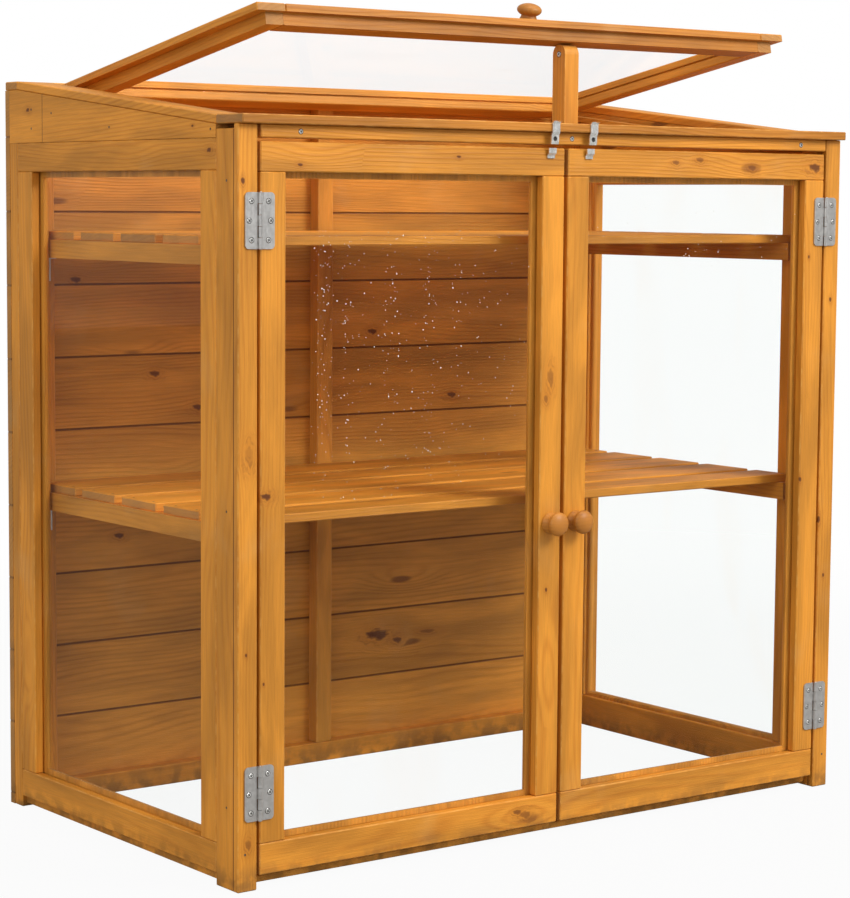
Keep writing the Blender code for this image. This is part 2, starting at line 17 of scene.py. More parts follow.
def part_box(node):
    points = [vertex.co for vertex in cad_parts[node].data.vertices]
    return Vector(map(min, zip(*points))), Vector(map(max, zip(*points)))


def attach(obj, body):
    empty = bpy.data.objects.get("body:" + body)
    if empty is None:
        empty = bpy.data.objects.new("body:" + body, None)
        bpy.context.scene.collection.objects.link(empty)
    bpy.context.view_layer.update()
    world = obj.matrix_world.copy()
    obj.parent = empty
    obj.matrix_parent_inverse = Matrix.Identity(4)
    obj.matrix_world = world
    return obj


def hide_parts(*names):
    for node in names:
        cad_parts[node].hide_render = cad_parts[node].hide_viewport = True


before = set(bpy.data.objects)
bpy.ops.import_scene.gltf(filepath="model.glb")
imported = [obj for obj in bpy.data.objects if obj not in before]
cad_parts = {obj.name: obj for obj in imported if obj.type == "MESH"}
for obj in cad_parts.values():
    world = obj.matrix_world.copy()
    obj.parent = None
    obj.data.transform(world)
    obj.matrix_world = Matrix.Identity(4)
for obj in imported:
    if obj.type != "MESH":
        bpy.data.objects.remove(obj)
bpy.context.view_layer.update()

Colour = tuple[float, float, float]
Socket = bpy.types.NodeSocket

log = logging.getLogger("greenhouse")

LID_TILT = math.radians(9.9)
ROOF_PITCH = math.radians(6.27)
RING_SPACING = 0.0058
KNOT_RINGS = 11.0
OUT = Vector((0, -1, 0))


# ----------------------------------------------------------------------------------- named choices


class Side(Enum):
    """The two ends of the greenhouse, with the sign of X on each."""

    LEFT = -1
    RIGHT = 1

    @property
    def word(self) -> str:
        """The side's word in the pieces' names."""
        return self.name.lower()


class Grain(Enum):
    """The way a timber's grain runs, as the order in which its axes are read."""

    ALONG_X = (0, 1, 2)
    ALONG_Y = (1, 0, 2)
    ALONG_Z = (2, 0, 1)


class Slot(Enum):
    """Material slots of the record, one named for each new piece."""

    PINE = "pine"
    ZINC = "zinc"
    GLASS = "glass"


# ------------------------------------------------------------------------------------- node graphs


class Graph:
    """A node tree with short ways to add nodes and feed their sockets."""

    def __init__(self, tree: bpy.types.NodeTree) -> None:
        """Keep the tree that nodes are added to."""
        self.tree = tree

    def add(self, kind: str, **settings: Any) -> bpy.types.Node:
        """Add a node and set its properties.

        Args:
            kind: The node's type, without the leading "ShaderNode".
            settings: Properties to set on it.

        Returns:
            The new node.
        """
        node = self.tree.nodes.new("ShaderNode" + kind)
        for key, value in settings.items():
            setattr(node, key, value)
        return node

    def feed_all(self, sockets: Any, values: dict[str, Any]) -> None:
        """Feed sockets by their names."""
        for name, value in values.items():
            self.feed(sockets[name], value)

    def feed(self, socket: Socket, value: Any) -> None:
        """Link a socket if the value is one, or set its default otherwise."""
        if isinstance(value, bpy.types.NodeSocket):
            self.tree.links.new(value, socket)
        elif isinstance(value, tuple) and len(value) == 3 and socket.type == "RGBA":
            socket.default_value = (*value, 1.0)
        else:
            socket.default_value = value

    def math(self, operation: str, *values: Any, clamp: bool = False) -> Socket:
        """A math node's result."""
        node = self.add("Math", operation=operation, use_clamp=clamp)
        for socket, value in zip(node.inputs, values):
            self.feed(socket, value)
        return node.outputs[0]

    def vector(self, operation: str, *values: Any) -> Socket:
        """A vector math node's vector result."""
        node = self.add("VectorMath", operation=operation)
        for socket, value in zip(node.inputs, values):
            self.feed(socket, value)
        return node.outputs["Value" if operation in ("LENGTH", "DISTANCE", "DOT_PRODUCT") else "Vector"]

    def blend(self, factor: Any, first: Any, second: Any, mode: str = "MIX") -> Socket:
        """Two colours mixed by a factor."""
        node = self.add("Mix", data_type="RGBA", blend_type=mode)
        self.feed(node.inputs[0], factor)
        self.feed(node.inputs[6], first)
        self.feed(node.inputs[7], second)
        return node.outputs[2]

    def stain(self, colour: Any, mask: Any, share: float, paint: Colour) -> Socket:
        """A colour with a share of a paint laid over it where a mask is set."""
        return self.blend(self.math("MULTIPLY", mask, share), colour, paint)

    def step(self, value: Any, start: float, end: float, low: float = 0.0, high: float = 1.0) -> Socket:
        """A value eased from low at start to high at end."""
        node = self.add("MapRange", interpolation_type="SMOOTHSTEP")
        self.feed_all(node.inputs, {"Value": value, "From Min": start, "From Max": end, "To Min": low,
                                    "To Max": high})
        return node.outputs["Result"]

    def noise(self, place: Any, scale: float, detail: float = 2.0, distortion: float = 0.0) -> Socket:
        """Noise around 0.5 at a place."""
        node = self.add("TexNoise")
        self.feed_all(node.inputs, {"Vector": place, "Scale": scale, "Detail": detail,
                                    "Distortion": distortion})
        return node.outputs["Fac"]

    def place(self) -> Socket:
        """The point in the piece's own coordinates."""
        return self.add("TexCoord").outputs["Object"]

    def parts(self, vector: Socket) -> tuple[Socket, Socket, Socket]:
        """A vector's three components."""
        node = self.add("SeparateXYZ")
        self.feed(node.inputs[0], vector)
        return node.outputs[0], node.outputs[1], node.outputs[2]

    def join(self, x: Any, y: Any, z: Any) -> Socket:
        """A vector from three components."""
        node = self.add("CombineXYZ")
        for socket, value in zip(node.inputs, (x, y, z)):
            self.feed(socket, value)
        return node.outputs[0]

    def use(self, group: bpy.types.NodeTree, **values: Any) -> bpy.types.Node:
        """Place a node group and feed its named inputs."""
        node = self.add("Group", node_tree=group)
        self.feed_all(node.inputs, values)
        return node


class EffectLibrary:
    """Node groups that several finishes share, each built once."""

    def __init__(self) -> None:
        """Build every group."""
        self.grain = self._grain()
        self.knot = self._knot()
        self.arris = self._arris()
        self.grime = self._grime()
        self.wear = self._wear()

    @staticmethod
    def _new(name: str, inputs: Sequence[tuple[str, str]], outputs: Sequence[str]
             ) -> tuple[bpy.types.NodeTree, Graph, bpy.types.Node, bpy.types.Node]:
        """Start a node group.

        Args:
            name: The group's name.
            inputs: Name and socket kind of each input.
            outputs: Name of each output, all plain values.

        Returns:
            The tree, its graph, and its input and output nodes.
        """
        tree = bpy.data.node_groups.new(name, "ShaderNodeTree")
        for label, kind in inputs:
            tree.interface.new_socket(name=label, in_out="INPUT", socket_type="NodeSocket" + kind)
        for label in outputs:
            tree.interface.new_socket(name=label, in_out="OUTPUT", socket_type="NodeSocketFloat")
        graph = Graph(tree)
        return tree, graph, tree.nodes.new("NodeGroupInput"), tree.nodes.new("NodeGroupOutput")

    def _grain(self) -> bpy.types.NodeTree:
        """Softwood grain: rings round a heart off to one side, fibre, drifting tone and stray knots."""
        tree, g, given, result = self._new(
            "softwood_grain", [("Vector", "Vector"), ("Seed", "Float")],
            ["Rings", "Fibre", "Tone", "Knots", "Height"])
        seed = given.outputs["Seed"]
        offset = g.join(g.math("MULTIPLY", seed, 3.71), g.math("MULTIPLY", seed, 1.37),
                        g.math("MULTIPLY", seed, 2.23))
        spot = g.vector("ADD", given.outputs["Vector"], offset)
        cells = g.add("TexVoronoi", feature="F1")
        g.feed(cells.inputs["Vector"], g.vector("MULTIPLY", spot, (3.4, 13.0, 13.0)))
        g.feed(cells.inputs["Scale"], 1.0)
        red = g.parts(cells.outputs["Color"])[0]
        chosen = g.step(red, 0.60, 0.64)
        near = g.math("MULTIPLY", g.step(cells.outputs["Distance"], 0.40, 0.06), chosen)
        knots = g.math("MULTIPLY", g.step(cells.outputs["Distance"], 0.105, 0.050), chosen)
        drift = g.noise(g.vector("MULTIPLY", spot, (1.3, 6.0, 6.0)), 1.0, 2.0)
        wander = g.math("MULTIPLY", g.math("SUBTRACT", drift, 0.5), 0.070)
        bulge = g.math("MULTIPLY", near, 0.012)
        along, across, through = g.parts(given.outputs["Vector"])
        chance = g.math("FRACT", g.math("MULTIPLY", seed, 7.13))
        heart = g.math("ADD", 0.045, g.math("MULTIPLY", chance, 0.05))
        reach = g.vector("LENGTH", g.join(0.0, g.math("ADD", across, heart), g.math("ADD", through, 0.03)))
        radius = g.math("ADD", g.math("ADD", reach, wander), bulge)
        wave = g.math("SINE", g.math("MULTIPLY", radius, 2.0 * math.pi / RING_SPACING))
        shade = g.noise(g.vector("MULTIPLY", spot, (2.1, 24.0, 24.0)), 1.0, 2.0)
        figure = g.step(shade, 0.34, 0.66, 0.18, 1.0)
        rings = g.math("MULTIPLY", g.math("POWER", g.math("MULTIPLY_ADD", wave, 0.5, 0.5), 2.2), figure)
        fibre = g.noise(g.vector("MULTIPLY", spot, (22.0, 900.0, 900.0)), 1.0, 3.0)
        tone = g.noise(g.vector("MULTIPLY", spot, (3.4, 19.0, 19.0)), 1.0, 4.0, 0.5)
        height = g.math("ADD", g.math("MULTIPLY", rings, 0.35), g.math("MULTIPLY", fibre, 0.65))
        g.feed_all(result.inputs, {"Rings": rings, "Fibre": fibre, "Tone": tone, "Knots": knots,
                                   "Height": height})
        return tree

    def _knot(self) -> bpy.types.NodeTree:
        """One knot at a known place: its heart, the rings round it and how far it pulls the grain aside."""
        tree, g, given, result = self._new(
            "placed_knot",
            [("Vector", "Vector"), ("Centre", "Vector"), ("Stretch", "Vector"), ("Radius", "Float")],
            ["Core", "Rings", "Halo"])
        away = g.vector("SUBTRACT", given.outputs["Vector"], given.outputs["Centre"])
        shaped = g.vector("MULTIPLY", away, given.outputs["Stretch"])
        ragged = g.math("MULTIPLY", g.math("SUBTRACT", g.noise(shaped, 120.0, 4.0), 0.5), 1.9)
        far = g.math("ADD", g.math("DIVIDE", g.vector("LENGTH", shaped), given.outputs["Radius"]), ragged)
        wave = g.math("SINE", g.math("MULTIPLY", far, KNOT_RINGS))
        ripple = g.math("POWER", g.math("MULTIPLY_ADD", wave, 0.5, 0.5), 1.6)
        patchy = g.step(g.noise(shaped, 75.0, 1.0), 0.42, 0.58)
        rings = g.math("MULTIPLY", g.math("MULTIPLY", g.step(far, 2.4, 0.8), ripple), patchy)
        g.feed_all(result.inputs, {"Core": g.step(far, 0.95, 0.45), "Rings": rings,
                                   "Halo": g.step(far, 3.0, 0.7)})
        return tree

    def _arris(self) -> bpy.types.NodeTree:
        """Wear along the arrises of a square timber, broken up by noise."""
        tree, g, given, result = self._new(
            "arris_wear", [("Vector", "Vector"), ("Middle", "Vector"), ("Half", "Vector")], ["Wear"])
        away = g.vector("ABSOLUTE", g.vector("SUBTRACT", given.outputs["Vector"], given.outputs["Middle"]))
        x, y, z = g.parts(g.vector("SUBTRACT", given.outputs["Half"], away))
        second = g.math("MAXIMUM", g.math("MINIMUM", x, y), g.math("MINIMUM", g.math("MAXIMUM", x, y), z))
        broken = g.step(g.noise(given.outputs["Vector"], 55.0, 4.0), 0.40, 0.66)
        g.feed(result.inputs["Wear"], g.math("MULTIPLY", g.step(second, 0.0026, 0.0006), broken))
        return tree

    def _grime(self) -> bpy.types.NodeTree:
        """Soil and damp that creep up from the ground, and faint grey weathering anywhere."""
        tree, g, given, result = self._new("ground_grime", [("Vector", "Vector")], ["Soil", "Weather"])
        height = g.parts(given.outputs["Vector"])[2]
        patch = g.noise(given.outputs["Vector"], 38.0, 4.0)
        low = g.step(height, 0.050, 0.002)
        g.feed(result.inputs["Soil"], g.math("MULTIPLY", low, g.step(patch, 0.38, 0.62)))
        g.feed(result.inputs["Weather"], g.step(g.noise(given.outputs["Vector"], 9.0, 5.0), 0.56, 0.78))
        return tree

    def _wear(self) -> bpy.types.NodeTree:
        """Handling marks on plated steel: cloudy zinc, rolled lines and small scratches."""
        tree, g, given, result = self._new("plated_wear", [("Vector", "Vector")],
                                           ["Cloud", "Lines", "Height"])
        place = given.outputs["Vector"]
        cloud = g.noise(place, 120.0, 4.0)
        lines = g.noise(g.vector("MULTIPLY", place, (1400.0, 1400.0, 60.0)), 1.0, 2.0)
        height = g.math("ADD", g.math("MULTIPLY", cloud, 0.6), g.math("MULTIPLY", lines, 0.4))
        g.feed_all(result.inputs, {"Cloud": cloud, "Lines": lines, "Height": height})
        return tree


# ---------------------------------------------------------------------------------------- finishes


def new_material(name: str) -> tuple[bpy.types.Material, Graph, bpy.types.Node]:
    """Start a material.

    Args:
        name: The material's name.

    Returns:
        The material, its graph and its Principled BSDF.
    """
    made = bpy.data.materials.new(name)
    made.use_nodes = True
    return made, Graph(made.node_tree), made.node_tree.nodes["Principled BSDF"]


def add_relief(graph: Graph, shader: bpy.types.Node, height: Socket, depth: float) -> None:
    """Bump a surface by a height from 0 to 1 over a depth in metres."""
    bump = graph.add("Bump")
    graph.feed(bump.inputs["Strength"], 1.0)
    graph.feed(bump.inputs["Distance"], depth)
    graph.feed(bump.inputs["Height"], height)
    graph.feed(shader.inputs["Normal"], bump.outputs["Normal"])


@dataclass(frozen=True)
class Knot:
    """A knot at a chosen place on a timber, in metres in the frame.

    Its heart is as dark as asked, and it is as many times longer along the grain than across it.
    """

    x: float
    y: float
    z: float
    radius: float
    dark: float = 0.9
    long: float = 1.7

    @property
    def centre(self) -> tuple[float, float, float]:
        """The knot's place as one value."""
        return self.x, self.y, self.z


@dataclass(frozen=True)
class Seam:
    """A closed joint line drawn across a timber, at one value of an axis."""

    axis: int
    place: float
    width: float = 0.0011


@dataclass(frozen=True)
class Planks:
    """Planks laid side by side in one node, which then differ in tone and in grain.

    What lies below the bearers' top runs across them, and it belongs to no plank.
    """

    axis: int
    start: float
    pitch: float
    # Width of the dark line at each joint: painted shadow in the gap between planks.
    joint: float = 0.0026
    bearer_top: float = -1.0


@dataclass
class Cut:
    """How a node is cut from the log: its grain's own axes, its stretch, and masks of the painted shadow in
    the joints and of the bearers.
    """

    aligned: Any
    stretch: Any
    tone: Any = 0.5
    joint: Any = 0.0
    bearer: Any = 0.0


@dataclass(frozen=True)
class Timber:
    """Stained softwood, in linear colours, with the share that each mark takes of the colour under it."""

    effects: EffectLibrary
    early: Colour = (0.690, 0.272, 0.027)
    late: Colour = (0.500, 0.160, 0.011)
    knot: Colour = (0.120, 0.030, 0.005)
    worn: Colour = (0.800, 0.440, 0.115)
    end: Colour = (0.330, 0.170, 0.060)
    soil: Colour = (0.10, 0.055, 0.022)
    weathered: Colour = (0.62, 0.40, 0.17)
    roughness: float = 0.50
    relief: float = 0.0006
    specular: float = 0.30
    late_share: float = 0.50
    worn_share: float = 0.38
    stray_knot_share: float = 0.72
    knot_ring_share: float = 0.34
    joint_shadow_share: float = 0.80
    seam_share: float = 0.85
    end_share: float = 0.55
    soil_share: float = 0.55
    weathered_share: float = 0.16
    knot_pull: float = 0.55

    def material(self, name: str, grain: Grain, seed: float, tilt: float = 0.0, knots: Sequence[Knot] = (),
                 seams: Sequence[Seam] = (), planks: Planks | None = None,
                 box: tuple[Vector, Vector] | None = None) -> bpy.types.Material:
        """Make the finish of one timber.

        Args:
            name: The material's name.
            grain: The way the grain runs.
            seed: Which stretch of the tree the timber is cut from.
            tilt: Turn of the grain about X, in radians, on a sloping timber.
            knots: Knots at chosen places.
            seams: Joint lines at chosen places.
            planks: How the node divides into planks, if it does.
            box: Lowest and highest corners of a square timber, whose arrises then show wear.

        Returns:
            The material.
        """
        made, g, shader = new_material(name)
        place = g.place()
        marks = [self._mark(g, place, grain, item) for item in knots]
        cut = self._cut(g, place, self._pulled(g, place, knots, marks), grain, seed, tilt, planks)
        wood = g.use(self.effects.grain, Vector=cut.aligned, Seed=cut.stretch).outputs
        colour = self._toned(g, wood, cut)
        if box:
            low, high = box
            wear = g.use(self.effects.arris, Vector=place, Middle=tuple((low + high) / 2),
                         Half=tuple((high - low) / 2)).outputs["Wear"]
            colour = g.stain(colour, wear, self.worn_share, self.worn)
        colour = g.stain(colour, wood["Knots"], self.stray_knot_share, self.knot)
        for item, mark in zip(knots, marks):
            colour = g.stain(colour, mark["Halo"], self.knot_ring_share, self.late)
            colour = g.stain(colour, mark["Rings"], self.knot_ring_share, self.knot)
            colour = g.stain(colour, mark["Core"], item.dark, self.knot)
        # Painted shadow in the gaps between planks.
        colour = g.stain(colour, cut.joint, self.joint_shadow_share, self.knot)
        height = wood["Height"]
        for seam in seams:
            gap = g.math("ABSOLUTE", g.math("SUBTRACT", g.parts(place)[seam.axis], seam.place))
            line = g.step(gap, seam.width, seam.width * 0.35)
            colour = g.stain(colour, line, self.seam_share, self.knot)
            height = g.math("SUBTRACT", height, g.math("MULTIPLY", line, 2.0))
        colour = g.stain(colour, self._end_grain(g, grain, cut, planks), self.end_share, self.end)
        dirt = g.use(self.effects.grime, Vector=place).outputs
        colour = g.stain(colour, dirt["Soil"], self.soil_share, self.soil)
        colour = g.stain(colour, dirt["Weather"], self.weathered_share, self.weathered)
        g.feed(shader.inputs["Base Color"], colour)
        gloss = g.math("MULTIPLY_ADD", wood["Fibre"], 0.16, self.roughness - 0.08)
        g.feed(shader.inputs["Roughness"], g.math("MULTIPLY_ADD", dirt["Soil"], 0.25, gloss, clamp=True))
        shader.inputs["Specular IOR Level"].default_value = self.specular
        add_relief(g, shader, height, self.relief)
        return made

    def _mark(self, g: Graph, place: Socket, grain: Grain, item: Knot) -> Any:
        """A placed knot's masks."""
        stretch = tuple(1.0 / item.long if axis == grain.value[0] else 1.0 for axis in range(3))
        return g.use(self.effects.knot, Vector=place, Centre=item.centre, Stretch=stretch,
                     Radius=item.radius).outputs

    def _pulled(self, g: Graph, place: Socket, knots: Sequence[Knot], marks: Sequence[Any]) -> Socket:
        """The place that the grain is read at, drawn aside round each knot."""
        level = place
        for item, mark in zip(knots, marks):
            pull = g.math("MULTIPLY", mark["Halo"], -self.knot_pull)
            away = g.vector("SUBTRACT", place, item.centre)
            level = g.vector("ADD", level, g.vector("MULTIPLY", away, g.join(pull, pull, pull)))
        return level

    @staticmethod
    def _cut(g: Graph, place: Socket, level: Socket, grain: Grain, seed: float, tilt: float,
             planks: Planks | None) -> Cut:
        """Turn the grain along the timber, and give each plank its own stretch and tone.

        Args:
            g: The material's graph.
            place: The point in the piece's own coordinates.
            level: The same point, drawn aside by the knots.
            grain: The way the grain runs.
            seed: Which stretch of the tree the timber is cut from.
            tilt: Turn of the grain about X, in radians.
            planks: How the node divides into planks, if it does.

        Returns:
            The cut.
        """
        if tilt:
            turn = g.add("VectorRotate", rotation_type="X_AXIS")
            g.feed_all(turn.inputs, {"Vector": level, "Angle": tilt})
            level = turn.outputs["Vector"]
        axes = g.parts(level)
        aligned = g.join(*(axes[axis] for axis in grain.value))
        if not planks:
            return Cut(aligned, seed)
        bearer = g.math("LESS_THAN", axes[2], planks.bearer_top)
        plank = g.math("SUBTRACT", 1.0, bearer)
        crossed = g.vector("SUBTRACT", g.join(axes[1], axes[0], axes[2]), aligned)
        aligned = g.vector("ADD", aligned, g.vector("MULTIPLY", crossed, g.join(bearer, bearer, bearer)))
        shift = g.math("DIVIDE", g.math("SUBTRACT", g.parts(place)[planks.axis], planks.start), planks.pitch)
        index = g.math("MULTIPLY", g.math("FLOOR", shift), plank)
        white = g.add("TexWhiteNoise", noise_dimensions="1D")
        g.feed(white.inputs["W"], g.math("ADD", index, seed))
        # A dark line along each plank's edge: painted shadow in the joint.
        within = g.math("ABSOLUTE", g.math("SUBTRACT", g.math("FRACT", shift), 0.5))
        edge = 0.5 - planks.joint / planks.pitch
        line = g.step(within, edge, edge + 0.55 * planks.joint / planks.pitch + 1e-4)
        return Cut(aligned, g.math("MULTIPLY_ADD", index, 0.731, seed), white.outputs["Value"],
                   g.math("MULTIPLY", line, plank), bearer)

    def _toned(self, g: Graph, wood: Any, cut: Cut) -> Socket:
        """The stain over early and late wood, lighter and darker by patch, streak and plank."""
        colour = g.blend(g.math("MULTIPLY", wood["Rings"], self.late_share), self.early, self.late)
        patch = g.step(wood["Tone"], 0.30, 0.72, 0.76, 1.16)
        streak = g.step(wood["Fibre"], 0.25, 0.75, 0.91, 1.07)
        plank = g.math("MULTIPLY_ADD", cut.tone, 0.34, 0.83)
        light = g.math("MULTIPLY", g.math("MULTIPLY", patch, streak), plank)
        return g.blend(1.0, colour, g.join(light, light, light), "MULTIPLY")

    @staticmethod
    def _end_grain(g: Graph, grain: Grain, cut: Cut, planks: Planks | None) -> Socket:
        """One on the faces that the saw cut across the grain."""
        facets = g.parts(g.add("TexCoord").outputs["Normal"])
        sawn = g.step(g.math("ABSOLUTE", facets[grain.value[0]]), 0.72, 0.90)
        if not planks:
            return sawn
        crosscut = g.step(g.math("ABSOLUTE", facets[1]), 0.72, 0.90)
        return g.math("ADD", sawn, g.math("MULTIPLY", g.math("SUBTRACT", crosscut, sawn), cut.bearer))


@dataclass(frozen=True)
class PlatedSteel:
    """Zinc plated or dulled steel."""

    effects: EffectLibrary
    bright: Colour = (0.60, 0.585, 0.565)
    dull: Colour = (0.51, 0.495, 0.475)
    roughness: float = 0.36
    metallic: float = 0.78

    def material(self, name: str) -> bpy.types.Material:
        """Make the finish under a name."""
        made, g, shader = new_material(name)
        marks = g.use(self.effects.wear, Vector=g.place()).outputs
        colour = g.blend(g.step(marks["Cloud"], 0.36, 0.66), self.dull, self.bright)
        g.feed(shader.inputs["Base Color"], colour)
        g.feed(shader.inputs["Roughness"], g.step(marks["Lines"], 0.25, 0.75, self.roughness - 0.08,
                                                  self.roughness + 0.14))
        shader.inputs["Metallic"].default_value = self.metallic
        add_relief(g, shader, marks["Height"], 0.00012)
        return made


@dataclass(frozen=True)
class ClearGlass:
    """Horticultural glass with the faint film that handling leaves."""

    tint: Colour = (0.985, 0.995, 0.990)
    film: Colour = (0.975, 0.965, 0.940)
    ior: float = 1.13

    def material(self, name: str, seed: float) -> bpy.types.Material:
        """Make the finish of one pane, with its own film."""
        made, g, shader = new_material(name)
        place = g.vector("ADD", g.place(), (seed, seed * 0.37, seed * 0.71))
        smear = g.noise(g.vector("MULTIPLY", place, (3.0, 3.0, 1.1)), 2.0, 4.0, 0.6)
        g.feed(shader.inputs["Base Color"], g.blend(g.step(smear, 0.55, 0.80), self.tint, self.film))
        g.feed(shader.inputs["Roughness"], g.step(smear, 0.62, 0.88, 0.0, 0.03))
        shader.inputs["Metallic"].default_value = 0.0
        shader.inputs["Transmission Weight"].default_value = 1.0
        shader.inputs["IOR"].default_value = self.ior
        return made


@dataclass(frozen=True)
class Dew:
    """Beads of water, coloured pale and opaque: a painted glint in place of the light that clear water
    reflects.
    """

    # Both colours are painted glint: the drops show them instead of their own reflections.
    pale: Colour = (0.95, 0.93, 0.88)
    clear: Colour = (0.80, 0.72, 0.60)

    def material(self, name: str) -> bpy.types.Material:
        """Make the finish under a name."""
        made, g, shader = new_material(name)
        tone = g.noise(g.place(), 90.0, 1.0)
        # Painted glint: pale patches mixed over the drops.
        g.feed(shader.inputs["Base Color"], g.blend(g.step(tone, 0.35, 0.65), self.clear, self.pale))
        g.feed(shader.inputs["Roughness"], g.step(tone, 0.3, 0.7, 0.05, 0.22))
        shader.inputs["Specular IOR Level"].default_value = 0.9
        return made


@dataclass(frozen=True)
class Recess:
    """Painted shade: the dark colour put inside a hole or a screw's recess, where there is only shadow."""

    # Both colours are painted shade.
    deep: Colour = (0.012, 0.010, 0.009)
    rim: Colour = (0.055, 0.050, 0.045)

    def material(self, name: str) -> bpy.types.Material:
        """Make the finish under a name."""
        made, g, shader = new_material(name)
        tone = g.noise(g.place(), 400.0, 2.0)
        g.feed(shader.inputs["Base Color"], g.blend(tone, self.deep, self.rim))
        g.feed(shader.inputs["Roughness"], g.step(tone, 0.3, 0.7, 0.6, 0.9))
        return made


def seen_straight(g: Graph) -> Socket:
    """One for a ray from the eye, through clear glass or none, and nought for scattered light."""
    path = g.add("LightPath").outputs
    seen = g.math("MAXIMUM", path["Is Camera Ray"], path["Is Transmission Ray"])
    scattered = g.math("ADD", path["Diffuse Depth"], path["Glossy Depth"])
    return g.math("MULTIPLY", seen, g.math("LESS_THAN", scattered, 0.5))


@dataclass(frozen=True)
class PaleFloor:
    """The studio's pale floor, which keeps only a faint shadow."""

    pale: Colour = (0.30, 0.30, 0.29)
    cloud: Colour = (0.28, 0.28, 0.27)
    shadow_share: float = 0.05
    near: float = 1.3
    far: float = 3.6

    def material(self, name: str) -> bpy.types.Material:
        """Make the finish under a name."""
        made, g, shader = new_material(name)
        g.feed(shader.inputs["Base Color"], g.blend(g.noise(g.place(), 1.5, 2.0), self.pale, self.cloud))
        shader.inputs["Roughness"].default_value = 0.9
        glow = g.add("Emission")
        glow.inputs["Color"].default_value = (1.0, 1.0, 1.0, 1.0)
        distance = g.vector("LENGTH", g.place())
        share = g.step(distance, self.near, self.far, 1.0 - self.shadow_share, 1.0)
        mixed = g.add("MixShader")
        g.feed(mixed.inputs[0], g.math("MULTIPLY", seen_straight(g), share))
        g.feed(mixed.inputs[1], shader.outputs[0])
        g.feed(mixed.inputs[2], glow.outputs[0])
        g.feed(made.node_tree.nodes["Material Output"].inputs["Surface"], mixed.outputs[0])
        return made


# ------------------------------------------------------------------------------------------ shapes


def mesh_of(name: str, shape: bmesh.types.BMesh, smooth: bool = False) -> bpy.types.Mesh:
    """Turn a bmesh into a mesh, shaded smooth with sharp edges kept if asked."""
    mesh = bpy.data.meshes.new(name)
    shape.to_mesh(mesh)
    shape.free()
    if smooth:
        mesh.shade_smooth()
        mesh.set_sharp_from_angle(angle=math.radians(35))
    return mesh


def facing(normal: Vector) -> Matrix:
    """The turn that brings +Z to a normal."""
    return normal.to_track_quat("Z", "Y").to_matrix().to_4x4()


def add_box(shape: bmesh.types.BMesh, low: Sequence[float], high: Sequence[float], eased: float = 0.0,
            turn: Matrix | None = None) -> None:
    """Add a box between two corners, with eased edges and a turn about its own middle if given."""
    size = [top - bottom for bottom, top in zip(low, high)]
    middle = Vector([(top + bottom) / 2 for bottom, top in zip(low, high)])
    place = Matrix.Translation(middle) @ (turn or Matrix.Identity(4)) @ Matrix.Diagonal((*size, 1.0))
    made = bmesh.ops.create_cube(shape, size=1.0, matrix=place)
    if eased:
        edges = {edge for corner in made["verts"] for edge in corner.link_edges}
        bmesh.ops.bevel(shape, geom=list(edges), offset=eased, segments=2, profile=0.7, affect="EDGES")


def add_disc(shape: bmesh.types.BMesh, centre: Vector, normal: Vector, radius: float, height: float,
             sides: int = 16, crown: float = 1.0) -> None:
    """Add a short round head that stands on a surface, narrowed at its crown."""
    place = Matrix.Translation(centre + normal * (height / 2)) @ facing(normal)
    bmesh.ops.create_cone(shape, cap_ends=True, segments=sides, radius1=radius, radius2=radius * crown,
                          depth=height, matrix=place)


def add_bead(shape: bmesh.types.BMesh, start: Vector, end: Vector, inward: Vector, outward: Vector,
             width: float, depth: float) -> None:
    """Add a mitred glazing bead between two corners of an opening.

    Args:
        shape: The bmesh to add to.
        start: Corner where the bead starts, at the back of its seat.
        end: Corner where it ends.
        inward: Unit way from the frame to the middle of the pane.
        outward: Unit way from the pane to the face that shows.
        width: Size across the pane.
        depth: Size away from the pane.
    """
    along = (end - start).normalized()
    steps, flat = 4, 0.35
    section = [(0.0, 0.0), (width, 0.0), (width, depth * flat)]
    for index in range(1, steps + 1):
        angle = index * math.pi / 2 / steps
        section.append((width * (flat + (1 - flat) * math.cos(angle)),
                        depth * (flat + (1 - flat) * math.sin(angle))))
    section.append((0.0, depth))
    rings = []
    for corner, way in ((start, 1.0), (end, -1.0)):
        rings.append([shape.verts.new(corner + inward * across + outward * out + along * (way * across))
                      for across, out in section])
    count = len(section)
    for index in range(count):
        after = (index + 1) % count
        shape.faces.new((rings[0][index], rings[0][after], rings[1][after], rings[1][index]))
    shape.faces.new(rings[0][::-1])
    shape.faces.new(rings[1])


